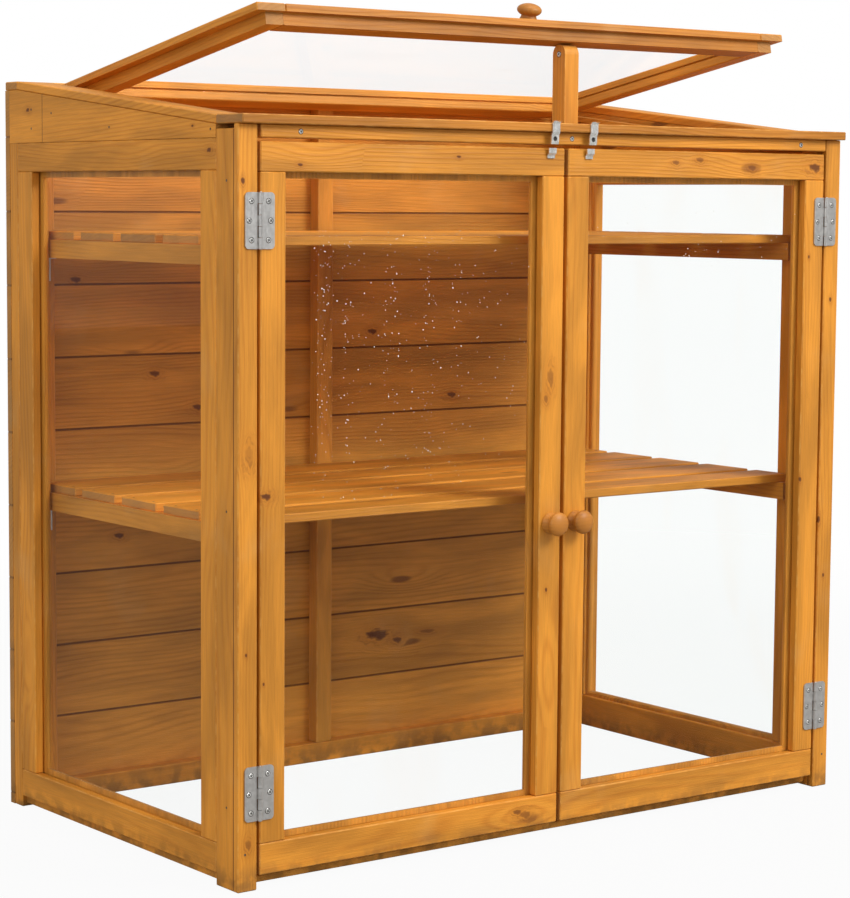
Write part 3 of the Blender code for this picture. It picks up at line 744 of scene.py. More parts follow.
@dataclass
class Workshop:
    """What every sub-assembly is built with: the finishes, and how a piece is dressed or added."""

    effects: EffectLibrary = field(default_factory=EffectLibrary)
    made: int = 0

    def __post_init__(self) -> None:
        """Mix the finishes."""
        self.pine = Timber(self.effects)
        self.inner_pine = Timber(self.effects, early=(0.680, 0.285, 0.036), late=(0.450, 0.155, 0.014),
                                 roughness=0.62, relief=0.0009)
        # A darker copy of the pine: painted shade on the front cap and the lid's front rail.
        self.shaded_pine = Timber(self.effects, early=(0.500, 0.185, 0.018), late=(0.350, 0.105, 0.008))
        self.steel = PlatedSteel(self.effects)
        self.zinc = PlatedSteel(self.effects, bright=(0.95, 0.94, 0.91), dull=(0.74, 0.73, 0.69),
                                roughness=0.18, metallic=0.80)
        self.nail_iron = PlatedSteel(self.effects, bright=(0.20, 0.16, 0.12), dull=(0.08, 0.06, 0.04),
                                     roughness=0.55, metallic=0.7)
        self.turned_pine = Timber(self.effects, early=(0.500, 0.190, 0.026), late=(0.300, 0.090, 0.010),
                                  end=(0.460, 0.170, 0.026), roughness=0.42, relief=0.0002)
        self.glass = ClearGlass()
        self.lid_glass = ClearGlass(tint=(1.0, 1.0, 0.995), film=(0.985, 0.980, 0.970), ior=1.03)
        # The drops' finish is a painted glint.
        self.dew = Dew()
        # The dark finish for holes and recesses is painted shade.
        self.recess = Recess()

    def paint(self, node: str, material: bpy.types.Material) -> None:
        """Give a frame node a finish."""
        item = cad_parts[node]
        item.data.materials.clear()
        item.data.materials.append(material)
        log.info("dressed %s", node)

    def timber(self, node: str, grain: Grain, seed: float, finish: Timber | None = None,
               **features: Any) -> None:
        """Give a frame timber its own length of pine."""
        if not {"tilt", "planks"} & set(features):
            features["box"] = corners(node)
        self.paint(node, (finish or self.pine).material(node + "_wood", grain, seed, **features))

    def glaze(self, node: str, seed: float, glass: ClearGlass | None = None) -> None:
        """Give a pane its glass, which casts no shadow and lets scattered light straight through."""
        self.paint(node, (glass or self.glass).material(node, seed))
        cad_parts[node].visible_shadow = False
        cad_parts[node].visible_diffuse = False

    def add(self, name: str, mesh: bpy.types.Mesh, material: bpy.types.Material, body: str, slot: Slot,
            replaces: str | None = None) -> bpy.types.Object:
        """Add a new piece that rides on a body.

        Args:
            name: The piece's name.
            mesh: Its mesh, in the frame's coordinates.
            material: Its finish.
            body: The body it rides on.
            slot: The record's slot it belongs to. Not used.
            replaces: A frame node that it stands for, if any.

        Returns:
            The piece.
        """
        mesh.materials.append(material)
        item = bpy.data.objects.new(name, mesh)
        bpy.context.scene.collection.objects.link(item)
        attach(item, body)
        if replaces:
            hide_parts(replaces)
        self.made += 1
        log.info("made %s, %d faces, on %s", name, len(mesh.polygons), body)
        return item


def corners(node: str) -> tuple[Vector, Vector]:
    """A frame node's lowest and highest corners."""
    low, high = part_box(node)
    return Vector(low), Vector(high)


def outside(node: str, side: Side) -> float:
    """The X of a frame node's face that looks out at a side."""
    low, high = corners(node)
    return high.x if side is Side.RIGHT else low.x


# ------------------------------------------------------------------------------------- ironmongery


@dataclass
class ScrewSet:
    """Countersunk cross-recess screws, with painted shade: a dark ring round each head and dark crosses on
    it.
    """

    shop: Workshop
    radius: float = 0.0037
    height: float = 0.0008
    crown: float = 0.84
    slot_width: float = 0.0011
    slot_reach: float = 0.62
    slot_depth: float = 0.22
    # How much wider than the head the ring of painted shadow is.
    shadow_ring_scale: float = 1.20
    sides: int = 20

    def build(self, name: str, places: Iterable[tuple[Vector, Vector]], body: str, size: float = 1.0) -> None:
        """Set screws at points of a surface.

        Args:
            name: Name of the joined heads.
            places: Centre and outward normal of each head.
            body: The body that they ride on.
            size: Scale of the heads.
        """
        heads, slots = bmesh.new(), bmesh.new()
        radius = self.radius * size
        half = Vector((radius * self.slot_reach, self.slot_width * size / 2, self.height * self.slot_depth))
        for index, (centre, normal) in enumerate(places):
            add_disc(heads, centre, normal, radius, self.height, self.sides, self.crown)
            # A thin dark disc under the head, wider than it: painted shadow round the countersink.
            add_disc(slots, centre, normal, radius * self.shadow_ring_scale, self.height * 0.12, self.sides)
            # Two thin dark bars across the head: painted shade in the cross recess.
            spin = facing(normal) @ Matrix.Rotation(0.5 + index * 1.9, 4, "Z")
            middle = centre + normal * (self.height * 0.85)
            for quarter in (0.0, math.pi / 2):
                add_box(slots, middle - half, middle + half, turn=spin @ Matrix.Rotation(quarter, 4, "Z"))
        self.shop.add(name, mesh_of(name, heads, True), self.shop.zinc.material(name), body, Slot.ZINC)
        # The ring and the bars are one piece in the painted shade finish.
        cross = name + "_recess"
        self.shop.add(cross, mesh_of(cross, slots), self.shop.recess.material(cross), body, Slot.ZINC)


@dataclass
class NailSet:
    """Flat nail heads punched level with the timber."""

    shop: Workshop
    radius: float = 0.0019
    height: float = 0.0002
    crown: float = 0.9
    sides: int = 12

    def build(self, name: str, places: Iterable[tuple[Vector, Vector]], body: str = "frame") -> None:
        """Drive nails at points of a surface, as one joined piece."""
        heads = bmesh.new()
        for centre, normal in places:
            add_disc(heads, centre, normal, self.radius, self.height, self.sides, self.crown)
        self.shop.add(name, mesh_of(name, heads), self.shop.nail_iron.material(name), body, Slot.ZINC)


@dataclass
class ButtHinge:
    """A butt hinge: two leaves from the frame, dressed, with a pin and six screws."""

    shop: Workshop
    tag: str
    side: Side
    plate: float = 0.0023
    end_margin: float = 0.0125
    edge_margin: float = 0.0105
    middle_margin: float = 0.0068
    knuckle_radius: float = 0.0035
    pin_radius: float = 0.0024
    pin_show: float = 0.0009

    def build(self) -> None:
        """Add the pin and the screws."""
        face = corners(f"door_top_rail_{self.side.word}")[0].y
        for kind, body in (("fixed", "frame"), ("door", f"door_{self.side.word}")):
            low, high = corners(f"hinge_{self.tag}_{kind}")
            outward = self.side.value if kind == "fixed" else -self.side.value
            edge = high.x if outward > 0 else low.x
            levels = ((high.z - self.end_margin, self.edge_margin),
                      ((low.z + high.z) / 2, self.middle_margin),
                      (low.z + self.end_margin, self.edge_margin))
            places = [(Vector((edge - outward * inset, face - self.plate, level)), OUT)
                      for level, inset in levels]
            ScrewSet(self.shop).build(f"hinge_{self.tag}_{kind}_screws", places, body)
        low, high = corners(f"hinge_{self.tag}_fixed")
        axis_x = low.x + self.knuckle_radius if self.side is Side.RIGHT else high.x - self.knuckle_radius
        pin = bmesh.new()
        for level, way in ((high.z, 1.0), (low.z, -1.0)):
            add_disc(pin, Vector((axis_x, low.y + self.knuckle_radius, level)), Vector((0, 0, way)),
                     self.pin_radius, self.pin_show, 16, 0.7)
        name = f"hinge_{self.tag}_pin"
        self.shop.add(name, mesh_of(name, pin, True), self.shop.steel.material(name), "frame", Slot.ZINC)

    def dress(self) -> None:
        """Plate the leaves."""
        for kind in ("fixed", "door"):
            node = f"hinge_{self.tag}_{kind}"
            self.shop.paint(node, self.shop.steel.material(node))


@dataclass
class Catch:
    """A bent strap with a hole, and its tab on the door."""

    shop: Workshop
    side: Side
    bow: float = 0.0095
    hole_radius: float = 0.0050
    hole_drop: float = 0.001
    backing: float = 0.0002

    def build(self) -> None:
        """Put a dark disc behind the strap's hole: painted shade where the wood behind it lies in shadow."""
        low, high = corners(f"catch_plate_{self.side.word}")
        rail_low, rail_high = corners("head_rail")
        centre = Vector(((low.x + high.x) / 2, rail_low.y - self.bow + self.backing,
                         (rail_low.z + rail_high.z) / 2 - self.hole_drop))
        # Painted shade: a dark disc in the hole.
        hole = bmesh.new()
        add_disc(hole, centre, OUT, self.hole_radius, self.backing, 24)
        name = f"catch_plate_{self.side.word}_hole"
        self.shop.add(name, mesh_of(name, hole), self.shop.recess.material(name), "frame", Slot.ZINC)

    def dress(self) -> None:
        """Plate both pieces."""
        for node in (f"catch_plate_{self.side.word}", f"catch_tab_{self.side.word}"):
            self.shop.paint(node, self.shop.zinc.material(node))


@dataclass(frozen=True)
class KnobShape:
    """The sizes that a knob is turned to."""

    radius: float
    half_head: float
    neck: float
    foot: float
    collar: float = 0.0018
    lift: float = 0.0004
    head_steps: int = 18
    flare_steps: int = 8
    flare_bend: float = 1.4

    def profile(self, reach: float) -> list[tuple[float, float]]:
        """Radius and height from the tip, as far out as the reach, down to the collar at the seat."""
        centre = reach - self.half_head
        lowest = -math.acos(self.neck / self.radius)
        points = [(0.0, reach)]
        for index in range(1, self.head_steps + 1):
            angle = math.pi / 2 + (lowest - math.pi / 2) * index / self.head_steps
            points.append((self.radius * math.cos(angle), centre + self.half_head * math.sin(angle)))
        top = points[-1][1]
        for index in range(1, self.flare_steps + 1):
            share = index / self.flare_steps
            points.append((self.neck + (self.foot - self.neck) * share ** self.flare_bend,
                           top - (top - self.collar) * share))
        return points + [(self.foot, self.lift), (0.0, self.lift)]


@dataclass
class TurnedKnob:
    """A turned wooden knob that stands for a plainer one in the frame."""

    shop: Workshop
    node: str
    body: str
    shape: KnobShape
    reach: float
    seat: Vector
    way: Vector
    sides: int = 48

    def build(self, seed: float) -> None:
        """Turn the knob and stand it on its seat."""
        shape = bmesh.new()
        ring = [shape.verts.new((across, 0.0, up)) for across, up in self.shape.profile(self.reach)]
        edges = [shape.edges.new(pair) for pair in zip(ring, ring[1:])]
        bmesh.ops.spin(shape, geom=ring + edges, cent=(0, 0, 0), axis=(0, 0, 1), angle=2 * math.pi,
                       steps=self.sides, use_merge=True)
        bmesh.ops.remove_doubles(shape, verts=shape.verts, dist=1e-6)
        bmesh.ops.recalc_face_normals(shape, faces=shape.faces)
        shape.transform(Matrix.Translation(self.seat) @ facing(self.way))
        name = self.node + "_turned"
        grain = Grain.ALONG_Z if abs(self.way.z) > 0.5 else Grain.ALONG_Y
        finish = self.shop.turned_pine.material(name + "_wood", grain, seed)
        self.shop.add(name, mesh_of(name, shape, True), finish, self.body, Slot.PINE, self.node)


# ----------------------------------------------------------------------------------------- glazing


@dataclass
class Glazing:
    """A pane, and the beads that hold it from the inside. Show is the sign of the way from pane to bead."""

    shop: Workshop
    pane: str
    body: str
    thin_axis: int
    show: float
    seed: float
    grip: float = 0.0054
    bead_width: float = 0.009
    bead_depth: float = 0.0095
    bead_gap: float = 0.0003

    def build(self) -> None:
        """Add four mitred beads against the pane, on the side that faces the inside."""
        low, high = corners(self.pane)
        flat = [axis for axis in range(3) if axis != self.thin_axis]
        back = high[self.thin_axis] if self.show > 0 else low[self.thin_axis]
        outward = Vector([self.show if axis == self.thin_axis else 0.0 for axis in range(3)])
        corner = []
        for first, second in ((0, 0), (1, 0), (1, 1), (0, 1)):
            point = Vector((0, 0, 0))
            point[self.thin_axis] = back + self.show * self.bead_gap
            point[flat[0]] = (high if first else low)[flat[0]] + (-self.grip if first else self.grip)
            point[flat[1]] = (high if second else low)[flat[1]] + (-self.grip if second else self.grip)
            corner.append(point)
        middle = sum(corner, Vector()) / 4
        shape = bmesh.new()
        for start, end in zip(corner, corner[1:] + corner[:1]):
            along = (end - start).normalized()
            inward = middle - start
            inward -= along * inward.dot(along)
            inward -= outward * inward.dot(outward)
            add_bead(shape, start, end, inward.normalized(), outward, self.bead_width, self.bead_depth)
        bmesh.ops.recalc_face_normals(shape, faces=shape.faces)
        name = self.pane + "_beads"
        finish = self.shop.inner_pine.material(name + "_wood", Grain.ALONG_Z, self.seed)
        self.shop.add(name, mesh_of(name, shape, True), finish, self.body, Slot.PINE)

    def dress(self) -> None:
        """Glaze the pane."""
        self.shop.glaze(self.pane, self.seed)


@dataclass
class DewDrops:
    """Small beads of water that cling to the outside of a pane."""

    shop: Workshop
    pane: str
    body: str
    thin_axis: int
    count: int
    across: tuple[float, float]
    up: tuple[float, float]
    seed: int
    smallest: float = 0.0004
    largest: float = 0.0010
    tracks: int = 9
    in_tracks: float = 0.55
    track_spread: float = 0.012

    def build(self) -> None:
        """Scatter the drops, denser in a few tracks that run down."""
        rng = random.Random(self.seed)
        low, high = corners(self.pane)
        flat = 0 if self.thin_axis == 1 else 1
        span, rise = high[flat] - low[flat], high.z - low.z
        tracks = [rng.uniform(*self.across) for _ in range(self.tracks)]
        shape = bmesh.new()
        for _ in range(self.count):
            across = rng.uniform(*self.across)
            if rng.random() < self.in_tracks:
                across = rng.choice(tracks) + rng.gauss(0, self.track_spread)
            across = min(max(across, 0.03), 0.97)
            up = self.up[0] + (self.up[1] - self.up[0]) * rng.random() ** 0.7
            size = rng.uniform(self.smallest, self.largest) * (0.6 + 0.6 * rng.random())
            centre = Vector((0, 0, low.z + rise * up))
            centre[flat] = low[flat] + span * across
            centre[self.thin_axis] = low[self.thin_axis] - size * 0.2
            scale = [1.0, 1.0, 1.15]
            scale[self.thin_axis] = 0.55
            bmesh.ops.create_icosphere(shape, subdivisions=1, radius=size,
                                       matrix=Matrix.Translation(centre) @ Matrix.Diagonal((*scale, 1.0)))
        name = self.pane + "_dew"
        # The drops are finished in painted glint.
        self.shop.add(name, mesh_of(name, shape, True), self.shop.dew.material(name), self.body, Slot.GLASS)


# ------------------------------------------------------------------------------------- fixed frame


@dataclass
class FrontFrame:
    """Posts, head rail, cap board and sill round the doors."""

    shop: Workshop
    facing_depth: float = 0.0115
    screw_places: tuple[float, ...] = (-0.494, 0.010, 0.506)
    nail_levels: tuple[float, ...] = (0.12, 0.55, 1.02)
    nail_depth: float = 0.030
    foot_nail: tuple[float, float] = (0.004, 0.055)

    def build(self) -> None:
        """Screw the head rail and nail the posts."""
        low, high = corners("head_rail")
        level = (low.z + high.z) / 2
        screws = [(Vector((x, low.y, level)), OUT) for x in self.screw_places]
        ScrewSet(self.shop).build("head_rail_screws", screws, "frame", 0.95)
        places = []
        for side in Side:
            node = f"front_post_{side.word}"
            low, high = corners(node)
            for level in self.nail_levels:
                places.append((Vector((outside(node, side), low.y + self.nail_depth, level)),
                               Vector((side.value, 0, 0))))
            shift, level = self.foot_nail
            places.append((Vector(((low.x + high.x) / 2 + side.value * shift, low.y, level)), OUT))
        NailSet(self.shop).build("front_post_nails", places)

    def dress(self) -> None:
        """Finish the timbers, with the joint line down each post."""
        face = corners("front_post_left")[0].y
        knots = {
            Side.LEFT: (Knot(-0.581, face, 0.630, 0.0085, 0.22, 2.2), Knot(-0.592, face, 1.019, 0.0040),
                        Knot(-0.600, face + 0.0645, 1.049, 0.0055), Knot(-0.586, face, 0.345, 0.0024),
                        Knot(-0.582, face, 0.068, 0.0060, 0.5)),
            Side.RIGHT: (Knot(0.566, face, 0.461, 0.0055), Knot(0.583, face, 0.833, 0.0034),
                         Knot(0.581, face, 0.365, 0.0030)),
        }
        for side in Side:
            node = f"front_post_{side.word}"
            seam = Seam(1, corners(node)[0].y + self.facing_depth)
            self.shop.timber(node, Grain.ALONG_Z, 1.31 + 2 * side.value, knots=knots[side], seams=(seam,))
        self.shop.timber("head_rail", Grain.ALONG_X, 5.21)
        # The cap takes the darker pine as painted shade.
        self.shop.timber("front_cap", Grain.ALONG_X, 6.43, finish=self.shop.shaded_pine)
        self.shop.timber("front_sill", Grain.ALONG_X, 7.77, finish=self.shop.inner_pine)


@dataclass
class GlazedEnd:
    """One glazed end with its gable board, roof edge and ledger.

    The joint's place is its distance back from the front posts' face.
    """

    shop: Workshop
    side: Side
    joint_back: float = 0.5675
    nail_places: tuple[tuple[float, float], ...] = ((0.014, 0.012), (0.30, 0.020), (0.48, 0.045),
                                                    (0.545, 0.022), (0.545, 0.052))

    def build(self) -> None:
        """Add the beads and the gable's nails."""
        self.glazing().build()
        node = f"gable_{self.side.word}"
        low = corners(node)[0]
        out = Vector((self.side.value, 0, 0))
        places = [(Vector((outside(node, self.side), low.y + depth, low.z + rise)), out)
                  for depth, rise in self.nail_places]
        NailSet(self.shop).build(node + "_nails", places)

    def glazing(self) -> Glazing:
        """The end's glazing, whose beads show from inside."""
        seed = 3.3 if self.side is Side.LEFT else 4.9
        return Glazing(self.shop, f"end_glass_{self.side.word}", "frame", 0, -float(self.side.value), seed)

    def dress(self) -> None:
        """Finish the timbers and the pane."""
        word = self.side.word
        seed = 10.0 if self.side is Side.LEFT else 20.0
        edge = self.side.value * 0.6
        front = corners("front_post_left")[0].y
        self.shop.timber(f"end_top_rail_{word}", Grain.ALONG_Y, seed + 0.3,
                         knots=(Knot(edge, front + 0.075, 1.063, 0.0045),))
        self.shop.timber(f"end_bottom_rail_{word}", Grain.ALONG_Y, seed + 1.1)
        self.shop.timber(f"end_front_stile_{word}", Grain.ALONG_Z, seed + 2.9)
        self.shop.timber(f"end_rear_stile_{word}", Grain.ALONG_Z, seed + 3.7)
        marks = (Knot(edge, front + 0.614, 1.132, 0.0042), Knot(edge, front + 0.120, 1.098, 0.0024))
        self.shop.timber(f"gable_{word}", Grain.ALONG_Y, seed + 4.2, tilt=ROOF_PITCH * 0.5, knots=marks,
                         seams=(Seam(1, front + self.joint_back, 0.0009),))
        self.shop.timber(f"roof_edge_{word}", Grain.ALONG_Y, seed + 5.6, tilt=ROOF_PITCH)
        self.shop.timber(f"lid_ledger_{word}", Grain.ALONG_Y, seed + 6.1, finish=self.shop.inner_pine,
                         tilt=ROOF_PITCH)
        self.glazing().dress()


@dataclass
class BoardedBack:
    """Rear posts, boards, batten, bottom rail and cap."""

    shop: Workshop
    pitch: float = 0.1192
    first: float = 0.018
    rows: int = 9
    nail_margin: float = 0.030
    nail_rises: tuple[float, float] = (0.030, 0.088)

    def build(self) -> None:
        """Nail each board to the posts and the batten from behind."""
        low, high = corners("back_boards")
        places = []
        for row in range(self.rows):
            for across in (low.x + self.nail_margin, 0.0, high.x - self.nail_margin):
                for rise in self.nail_rises:
                    level = self.first + row * self.pitch + rise
                    places.append((Vector((across, high.y, level)), Vector((0, 1, 0))))
        NailSet(self.shop).build("back_board_nails", places)

    def dress(self) -> None:
        """Finish the timbers, board by board."""
        face = corners("back_boards")[0].y
        knots = (Knot(0.136, face, 0.210, 0.0125, 0.97, 2.6), Knot(0.180, face, 0.196, 0.0075, 0.9, 1.6),
                 Knot(0.248, face, 0.206, 0.0050, 0.55, 4.0), Knot(-0.245, face, 0.640, 0.0070),
                 Knot(0.020, face, 0.900, 0.0070), Knot(-0.330, face, 0.700, 0.0070),
                 Knot(-0.480, face, 0.860, 0.0070), Knot(-0.400, face, 0.430, 0.0065),
                 Knot(-0.120, face, 0.520, 0.0065), Knot(0.120, face, 0.760, 0.0070),
                 Knot(-0.100, face, 1.020, 0.0060), Knot(0.300, face, 0.640, 0.0070))
        self.shop.timber("back_boards", Grain.ALONG_X, 31.7, finish=self.shop.inner_pine, knots=knots,
                         planks=Planks(2, self.first, self.pitch))
        for side in Side:
            self.shop.timber(f"rear_post_{side.word}", Grain.ALONG_Z, 33.1 + side.value)
        self.shop.timber("back_batten", Grain.ALONG_Z, 36.5, finish=self.shop.inner_pine)
        self.shop.timber("back_bottom_rail", Grain.ALONG_X, 37.9)
        self.shop.timber("rear_cap", Grain.ALONG_X, 38.3)


@dataclass
class Shelf:
    """A slatted shelf with its nails and the steel plates under its rear corners."""

    shop: Workshop
    level: str
    seed: float
    pitch: float = 0.124
    slats: int = 5
    slat_thickness: float = 0.0141
    slat_width: float = 0.103
    slat_gap: float = 0.0105
    back_gap: float = 0.0095
    nail_depths: tuple[float, float] = (0.022, 0.081)
    nail_margin: float = 0.016
    plate_width: float = 0.020
    plate_height: float = 0.038
    plate_depth: float = 0.020
    plate_inset: float = 0.018
    plate_thickness: float = 0.0016
    flange_thickness: float = 0.0015

    def build(self) -> None:
        """Add the nails through the slats and the two plates."""
        low, high = corners(f"{self.level}_shelf")
        rear = corners("rear_post_left")[0].y - self.back_gap
        places = []
        for row in range(self.slats):
            for offset in self.nail_depths:
                depth = rear - self.slat_width + offset - row * self.pitch
                if depth < low.y + 0.015:
                    continue
                for across in (low.x + self.nail_margin, high.x - self.nail_margin):
                    places.append((Vector((across, depth, high.z)), Vector((0, 0, 1))))
        NailSet(self.shop).build(f"{self.level}_shelf_nails", places)
        for side in Side:
            self.add_plate(side, low.z - 0.0006)

    def add_plate(self, side: Side, top: float) -> None:
        """Screw a bent steel plate to a rear post, under the shelf."""
        post_low, post_high = corners(f"rear_post_{side.word}")
        inner = post_high.x if side is Side.LEFT else post_low.x
        middle, half = inner + side.value * self.plate_inset, self.plate_width / 2
        back, front = post_low.y - 0.0001, post_low.y - self.plate_thickness
        shape = bmesh.new()
        add_box(shape, (middle - half, front, top - self.plate_height), (middle + half, back, top), 0.0006)
        add_box(shape, (middle - half, post_low.y - self.plate_depth, top - self.flange_thickness),
                (middle + half, front, top), 0.0005)
        name = f"{self.level}_shelf_plate_{side.word}"
        self.shop.add(name, mesh_of(name, shape), self.shop.steel.material(name), "frame", Slot.ZINC)
        screws = [(Vector((middle, front, top - drop)), OUT) for drop in (0.012, 0.028)]
        ScrewSet(self.shop).build(name + "_screws", screws, "frame", 0.85)

    def dress(self) -> None:
        """Finish the shelf, slat by slat."""
        start = corners("rear_post_left")[0].y - self.back_gap + self.slat_gap - self.slats * self.pitch
        bearer_top = corners(f"{self.level}_shelf")[1].z - self.slat_thickness
        slats = Planks(1, start, self.pitch, joint=0.0, bearer_top=bearer_top)
        self.shop.timber(f"{self.level}_shelf", Grain.ALONG_X, self.seed, planks=slats)


# ------------------------------------------------------------------------------------------- doors


@dataclass
class Door:
    """One door: its rails and stiles, pane, beads, knob, hinges and catch."""

    shop: Workshop
    side: Side
    knob: KnobShape = KnobShape(0.0185, 0.0098, 0.0112, 0.0165)

    @property
    def body(self) -> str:
        """The body the door rides on."""
        return f"door_{self.side.word}"

    def glazing(self) -> Glazing:
        """The door's glazing, beaded from inside."""
        seed = 51.1 if self.side is Side.LEFT else 53.7
        return Glazing(self.shop, f"door_glass_{self.side.word}", self.body, 1, 1.0, seed)

    def build(self) -> None:
        """Add the beads, the knob, the screws and the dew."""
        word = self.side.word
        self.glazing().build()
        low, high = corners(f"door_knob_{word}")
        seat = Vector(((low.x + high.x) / 2, high.y, (low.z + high.z) / 2))
        TurnedKnob(self.shop, f"door_knob_{word}", self.body, self.knob, high.y - low.y, seat,
                   OUT).build(55.0 + self.side.value)
        dew = {Side.LEFT: (520, (0.12, 0.97), (0.50, 0.91), 7),
               Side.RIGHT: (90, (0.04, 0.97), (0.83, 0.95), 11)}
        DewDrops(self.shop, f"door_glass_{word}", self.body, 1, *dew[self.side]).build()
        for place in ("top", "bottom"):
            ButtHinge(self.shop, f"{place}_{word}", self.side).build()
        Catch(self.shop, self.side).build()

    def dress(self) -> None:
        """Finish the timbers, the pane and the ironmongery."""
        word = self.side.word
        front = corners(f"door_top_rail_{word}")[0].y
        seed = 61.0 if self.side is Side.LEFT else 71.0
        knots: dict[str, tuple[Knot, ...]] = {
            "hinge_stile": (Knot(0.521, front, 0.532, 0.0034), Knot(0.530, front, 0.905, 0.0026)),
            "top_rail": (Knot(0.227, front, 1.057, 0.0050, 0.6), Knot(0.279, front, 1.062, 0.0055, 0.6),
                         Knot(0.395, front, 1.051, 0.0062, 0.6), Knot(0.540, front, 1.053, 0.0095)),
        }
        if self.side is Side.LEFT:
            knots = {
                "hinge_stile": (Knot(-0.552, front, 0.571, 0.0105, 0.95, 0.62),
                                Knot(-0.556, front, 0.30, 0.0022)),
                "meeting_stile": (Knot(-0.027, front, 0.722, 0.0075, 0.45, 2.4),
                                  Knot(-0.036, front, 0.690, 0.0048, 0.5),
                                  Knot(-0.031, front, 0.392, 0.0030)),
                "bottom_rail": (Knot(-0.068, front, 0.041, 0.0075, 0.6),
                                Knot(-0.084, front, 0.047, 0.0055, 0.7)),
                "top_rail": (Knot(-0.495, front, 1.043, 0.0032), Knot(-0.21, front, 1.059, 0.0030)),
            }
        for index, part in enumerate(("top_rail", "bottom_rail", "hinge_stile", "meeting_stile")):
            grain = Grain.ALONG_X if part.endswith("rail") else Grain.ALONG_Z
            self.shop.timber(f"door_{part}_{word}", grain, seed + 1.7 * index, knots=knots.get(part, ()))
        self.glazing().dress()
        for place in ("top", "bottom"):
            ButtHinge(self.shop, f"{place}_{word}", self.side).dress()
        Catch(self.shop, self.side).dress()


# ------------------------------------------------------------------------------------ lid and stay


@dataclass
class Lid:
    """The propped lid with its knob, pane and stay."""

    shop: Workshop
    knob: KnobShape = KnobShape(0.0195, 0.0105, 0.0118, 0.0172)
    knob_reach: float = 0.032
    pin_drop: float = 0.015

    def build(self) -> None:
        """Turn the knob and put the pin through the stay."""
        low, high = corners("lid_knob")
        way = Vector((0, -math.sin(LID_TILT), math.cos(LID_TILT)))
        seat = (low + high) / 2 - way * (self.knob_reach / 2)
        TurnedKnob(self.shop, "lid_knob", "lid", self.knob, self.knob_reach, seat, way).build(81.0)
        low, high = corners("lid_stay")
        places = [(Vector((across, (low.y + high.y) / 2, high.z - self.pin_drop)), Vector((way_out, 0, 0)))
                  for across, way_out in ((low.x, -1), (high.x, 1))]
        ScrewSet(self.shop).build("lid_stay_pin_heads", places, "stay", 1.1)

    def dress(self) -> None:
        """Finish the rails, the pane and the stay."""
        # The front rail takes the darker pine as painted shade.
        for index, (word, finish) in enumerate((("front", self.shop.shaded_pine), ("rear", self.shop.pine))):
            self.shop.timber(f"lid_{word}_rail", Grain.ALONG_X, 83.0 + 3.1 * index, finish=finish,
                             tilt=LID_TILT)
        for index, word in enumerate(("left", "right")):
            self.shop.timber(f"lid_{word}_rail", Grain.ALONG_Y, 91.0 + 2.3 * index, tilt=LID_TILT)
        self.shop.timber("lid_stay", Grain.ALONG_Z, 97.7)
        self.shop.glaze("lid_glass", 9.7, self.shop.lid_glass)


# ------------------------------------------------------------------------------------------ studio


@dataclass(frozen=True)
class Lamp:
    """A square soft light that faces a point."""

    name: str
    place: tuple[float, float, float]
    target: tuple[float, float, float]
    size: float
    power: float

    def hang(self) -> None:
        """Hang the light."""
        light = bpy.data.lights.new(self.name, "AREA")
        light.size = self.size
        light.energy = self.power
        holder = bpy.data.objects.new(self.name, light)
        holder.location = self.place
        holder.rotation_euler = (Vector(self.target) - Vector(self.place)).to_track_quat("-Z", "Y").to_euler()
        bpy.context.scene.collection.objects.link(holder)


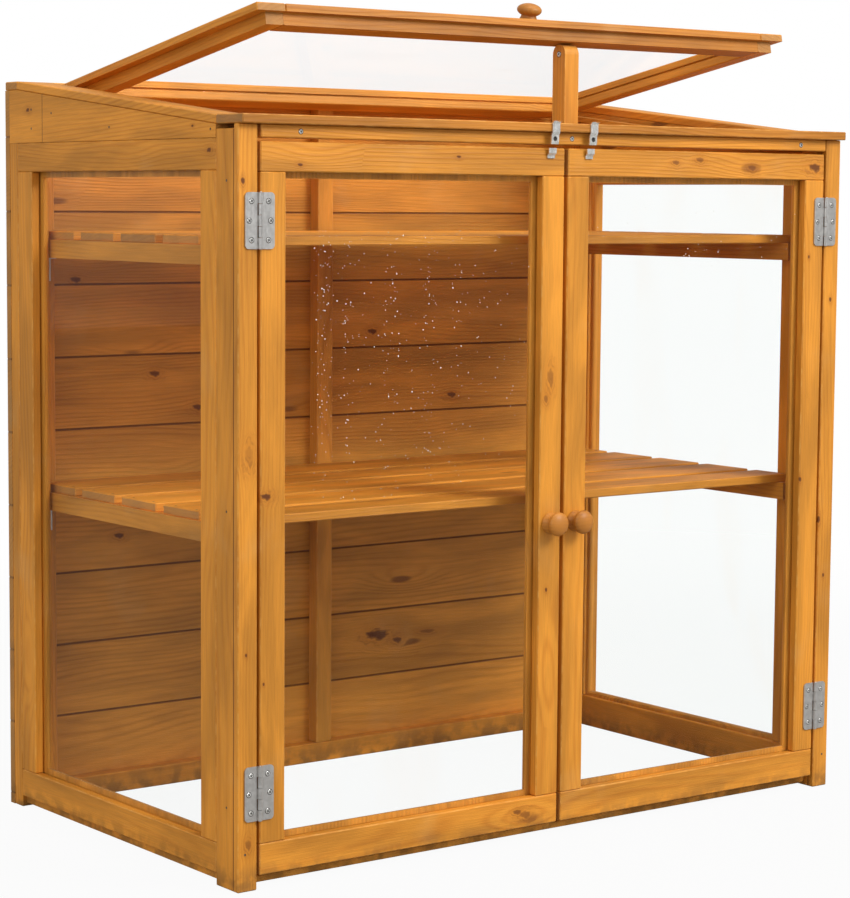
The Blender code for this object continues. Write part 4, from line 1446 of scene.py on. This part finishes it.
@dataclass
class Studio:
    """Pale floor, soft lights and the camera."""

    eye: tuple[float, float, float] = (-2.5455, -3.0215, 0.9923)
    turn: tuple[float, float, float] = (84.457, -0.434, -36.954)
    lens: float = 107.92
    sensor: float = 36.0
    floor_size: float = 14.0
    soft_sky: float = 0.76
    glossy_sky: float = 0.45
    lamps: tuple[Lamp, ...] = (
        Lamp("key", (1.7, -3.6, 3.4), (0.0, 0.0, 0.55), 1.8, 150.0),
        Lamp("fill", (-4.2, -1.6, 2.2), (0.0, 0.0, 0.6), 2.6, 42.0),
        Lamp("top", (0.2, -0.9, 4.4), (0.0, 0.1, 0.6), 2.0, 50.0),
    )

    def build(self) -> None:
        """Set up the studio."""
        self.lay_floor()
        for lamp in self.lamps:
            lamp.hang()
        world = bpy.data.worlds.new("studio")
        world.use_nodes = True
        g = Graph(world.node_tree)
        sky = world.node_tree.nodes["Background"]
        path = g.add("LightPath").outputs
        soft = g.math("MULTIPLY_ADD", path["Is Glossy Ray"], self.glossy_sky - self.soft_sky, self.soft_sky)
        sky.inputs["Color"].default_value = (1.0, 1.0, 1.0, 1.0)
        straight = seen_straight(g)
        rest = g.math("SUBTRACT", 1.0, straight)
        g.feed(sky.inputs["Strength"], g.math("MULTIPLY_ADD", soft, rest, straight))
        bpy.context.scene.world = world
        bpy.context.scene.view_settings.view_transform = "Standard"
        self.set_camera()
        log.info("studio ready")

    def lay_floor(self) -> None:
        """Lay the floor under the object."""
        shape = bmesh.new()
        bmesh.ops.create_grid(shape, x_segments=1, y_segments=1, size=self.floor_size)
        mesh = mesh_of("studio_floor", shape)
        mesh.materials.append(PaleFloor().material("studio_floor"))
        floor = bpy.data.objects.new("studio_floor", mesh)
        floor.location.z = -0.0005
        bpy.context.scene.collection.objects.link(floor)

    def set_camera(self) -> None:
        """Stand the camera at the viewing angle."""
        data = bpy.data.cameras.new("camera")
        data.lens = self.lens
        data.sensor_width = self.sensor
        data.sensor_fit = "HORIZONTAL"
        camera = bpy.data.objects.new("camera", data)
        camera.location = Vector(self.eye) + Vector((0.0, corners("front_post_left")[0].y, 0.0))
        camera.rotation_euler = Euler([math.radians(angle) for angle in self.turn], "XYZ")
        bpy.context.scene.collection.objects.link(camera)
        bpy.context.scene.camera = camera


def main() -> None:
    """Build and dress every sub-assembly in order, then the studio round them."""
    logging.basicConfig(level=logging.INFO, format="%(name)s: %(message)s")
    shop = Workshop()
    assemblies: list[Any] = [FrontFrame(shop), BoardedBack(shop)]
    assemblies += [GlazedEnd(shop, side) for side in Side]
    assemblies += [Shelf(shop, "lower", 41.3), Shelf(shop, "upper", 47.9)]
    assemblies += [Door(shop, side) for side in Side]
    assemblies.append(Lid(shop))
    for assembly in assemblies:
        log.info("%s", type(assembly).__name__)
        assembly.build()
        assembly.dress()
    Studio().build()
    log.info("%d new pieces", shop.made)


if __name__ == "__main__":
    main()
